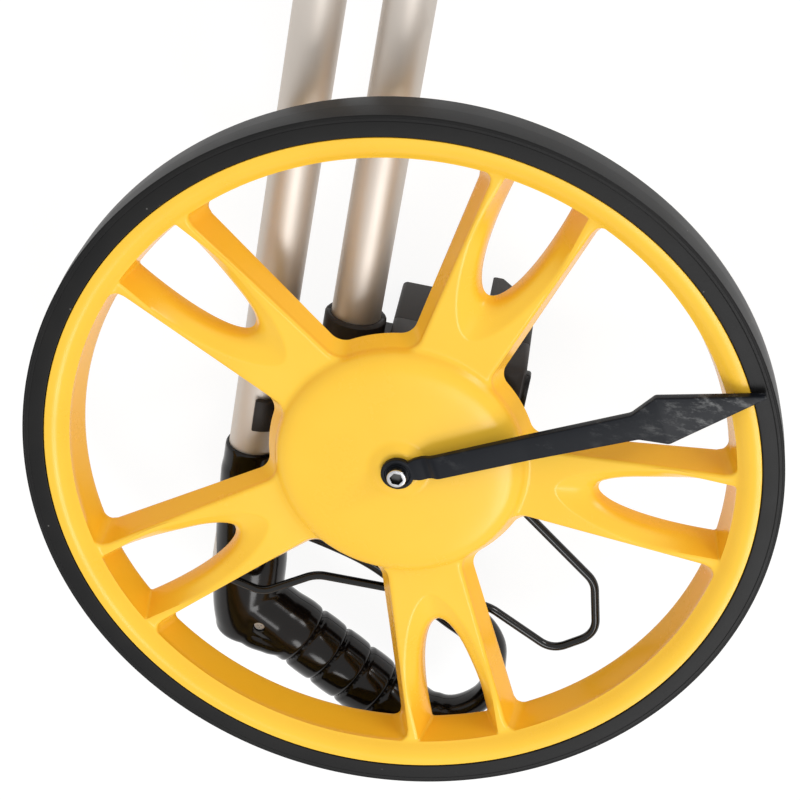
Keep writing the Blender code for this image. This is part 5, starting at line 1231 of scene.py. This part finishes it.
def figure_mesh(figure, height):
    """A flat raised figure, centred, as points and faces in millimetres."""
    text = bpy.data.curves.new("figure", "FONT")
    text.body = str(figure)
    text.size = height * 1.35
    text.extrude = 0.06
    text.align_x = "CENTER"
    mesh = modified(text)
    with edited(mesh) as edit:
        bmesh.ops.remove_doubles(edit, verts=edit.verts, dist=0.0001)
        bmesh.ops.triangulate(edit, faces=edit.faces)
    points = np.array([vertex.co[:] for vertex in mesh.vertices])
    points[:, 1] -= (points[:, 1].max() + points[:, 1].min()) / 2
    return points, [face.vertices[:] for face in mesh.polygons]


def wrapped(points, turn, middle_height):
    """Points wrapped round the drum: angle = turn - up / radius, height = middle + across."""
    angle = turn - points[:, 1] / DRUM_RADIUS
    radius = DRUM_RADIUS + 0.05 + points[:, 2]
    return lifted(DRUM_MIDDLE + radius[:, None] * ray(angle), middle_height + points[:, 0])


figures = [figure_mesh(figure, 4.6) for figure in range(10)]
for drum in range(1, 6):
    name = "figures_" + str(drum)
    low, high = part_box("number_drum_" + str(drum))
    height = (low[2] + high[2]) / 2 / MM
    parts = [(wrapped(points, math.pi / 2 + math.tau * figure / 10, height), faces)
             for figure, (points, faces) in enumerate(figures)]
    add_piece(name, new_mesh(name, parts, 0.0000001), "number_drum_" + str(drum),
              figure_finish, stands_in=False)

# %% [markdown]
# ## Finishes on the solids that stay
# The small pieces that are right as they are keep their solids and only get a finish. A
# name that ends with a line stands for every solid that starts so.

# %% Finishes on the solids
KEPT = {
    steel_finish: ["axle", "pointer_washer", "housing_screw_", "grip_screw_", "idler_pin",
                   "drum_shaft", "pinion_shaft", "fold_pin", "stand_washer"],
    gear_finish: ["drive_gear", "idler_gear", "drum_gear", "carry_pinion_", "wheel_bush_"],
    drum_finish: ["number_drum_"],
    lens_finish: ["counter_lens"],
}
for finish, names in KEPT.items():
    for name, node in frame["nodes"].items():
        if any(name == start or start.endswith("_") and name.startswith(start) for start in names):
            dress(node.data, finish)
print("finishes set on", len(frame["nodes"]), "solids")

# %% [markdown]
# ## Floor, backdrop and light
# The picture has a white ground. A plain pale floor just under the wheel takes a soft
# shadow, and to the camera it glows a little so that it reads as white. The world is white
# where it is looked at or mirrored, and softer where it lights. A lamp from the lower right
# of the picture draws the pointer's shadow up and to the left, as in the photograph, and
# puts the grey glare on the tyre's right side.

# %% Floor
FLOOR_DROP = 0.0006


def seen_by_eye(wire):
    """1 for camera, mirror and glass rays, 0 for the rays that carry light."""
    camera, glossy, glass = (wire.node("LightPath", out="Is " + kind + " Ray")
                             for kind in ("Camera", "Glossy", "Transmission"))
    return camera.sign("MAXIMUM", camera, glossy.sign("MAXIMUM", glossy, glass))


def add_floor():
    """A wide pale sheet that glows white to the eye and stays plain for the light."""
    side = np.linspace(-6.0, 6.0, 3)
    flat = np.stack(np.meshgrid(side, side), -1)
    mesh = bpy.data.meshes.new("floor")
    points = lifted(flat, cad_box[0][2] - FLOOR_DROP).reshape(-1, 3)
    mesh.from_pydata(points.tolist(), [], grid_cells(3, 3).tolist())
    holder = placed("floor", mesh)
    made = Finish("floor_white", (0.80, 0.80, 0.80), 0.9)
    wire = made.wire
    tone = (made.noise(3.0, 2.0) * 0.3).blend((0.80, 0.80, 0.80), (0.78, 0.78, 0.78))
    plain = wire.node("BsdfDiffuse", None, {"Color": tone})
    dim = wire.node("BsdfDiffuse", None, {"Color": (0.16, 0.16, 0.16)})
    glow = wire.node("Emission", None, {"Color": (1.0, 1.0, 1.0), "Strength": 0.90})
    bright = wire.node("AddShader", None, {0: dim, 1: glow})
    mixed = wire.node("MixShader", None, {0: seen_by_eye(wire), 1: plain, 2: bright})
    made.tree.links.new(mixed.socket, made.tree.nodes["Material Output"].inputs["Surface"])
    mesh.materials.append(made.material)


add_floor()
print("floor at", round(cad_box[0][2] - FLOOR_DROP, 4), "m")

# %% World and lamps
WORLD_LIGHT = 0.74


def set_world():
    world = bpy.data.worlds.new("studio")
    bpy.context.scene.world = world
    world.use_nodes = True
    wire = Wire(world.node_tree)
    eye = seen_by_eye(wire)
    shader = world.node_tree.nodes["Background"]
    for socket, value in (("Color", eye.blend((1.0, 0.965, 0.925), (1.0, 1.0, 1.0))),
                          ("Strength", WORLD_LIGHT + eye * (1.0 - WORLD_LIGHT))):
        world.node_tree.links.new(value.socket, shader.inputs[socket])


def add_lamp(name, place, aim, size, power):
    """An oblong area lamp at a place, turned towards an aim, in metres and watts."""
    lamp = bpy.data.lights.new(name, "AREA")
    lamp.shape = "RECTANGLE"
    lamp.size, lamp.size_y = size
    lamp.energy = power
    holder = placed(name, lamp)
    holder.location = place
    holder.rotation_euler = (Vector(aim) - Vector(place)).to_track_quat("-Z", "Y").to_euler()


set_world()
add_lamp("key_lamp", (0.42, -0.70, 1.386), (0.0, 0.0, 0.06), (0.45, 0.8), 8.5)
add_lamp("side_lamp", (0.75, 0.85, 0.55), (0.0, 0.0, 0.06), (0.22, 0.5), 3.5)
bpy.context.scene.view_settings.view_transform = "Standard"
print("lamps set")
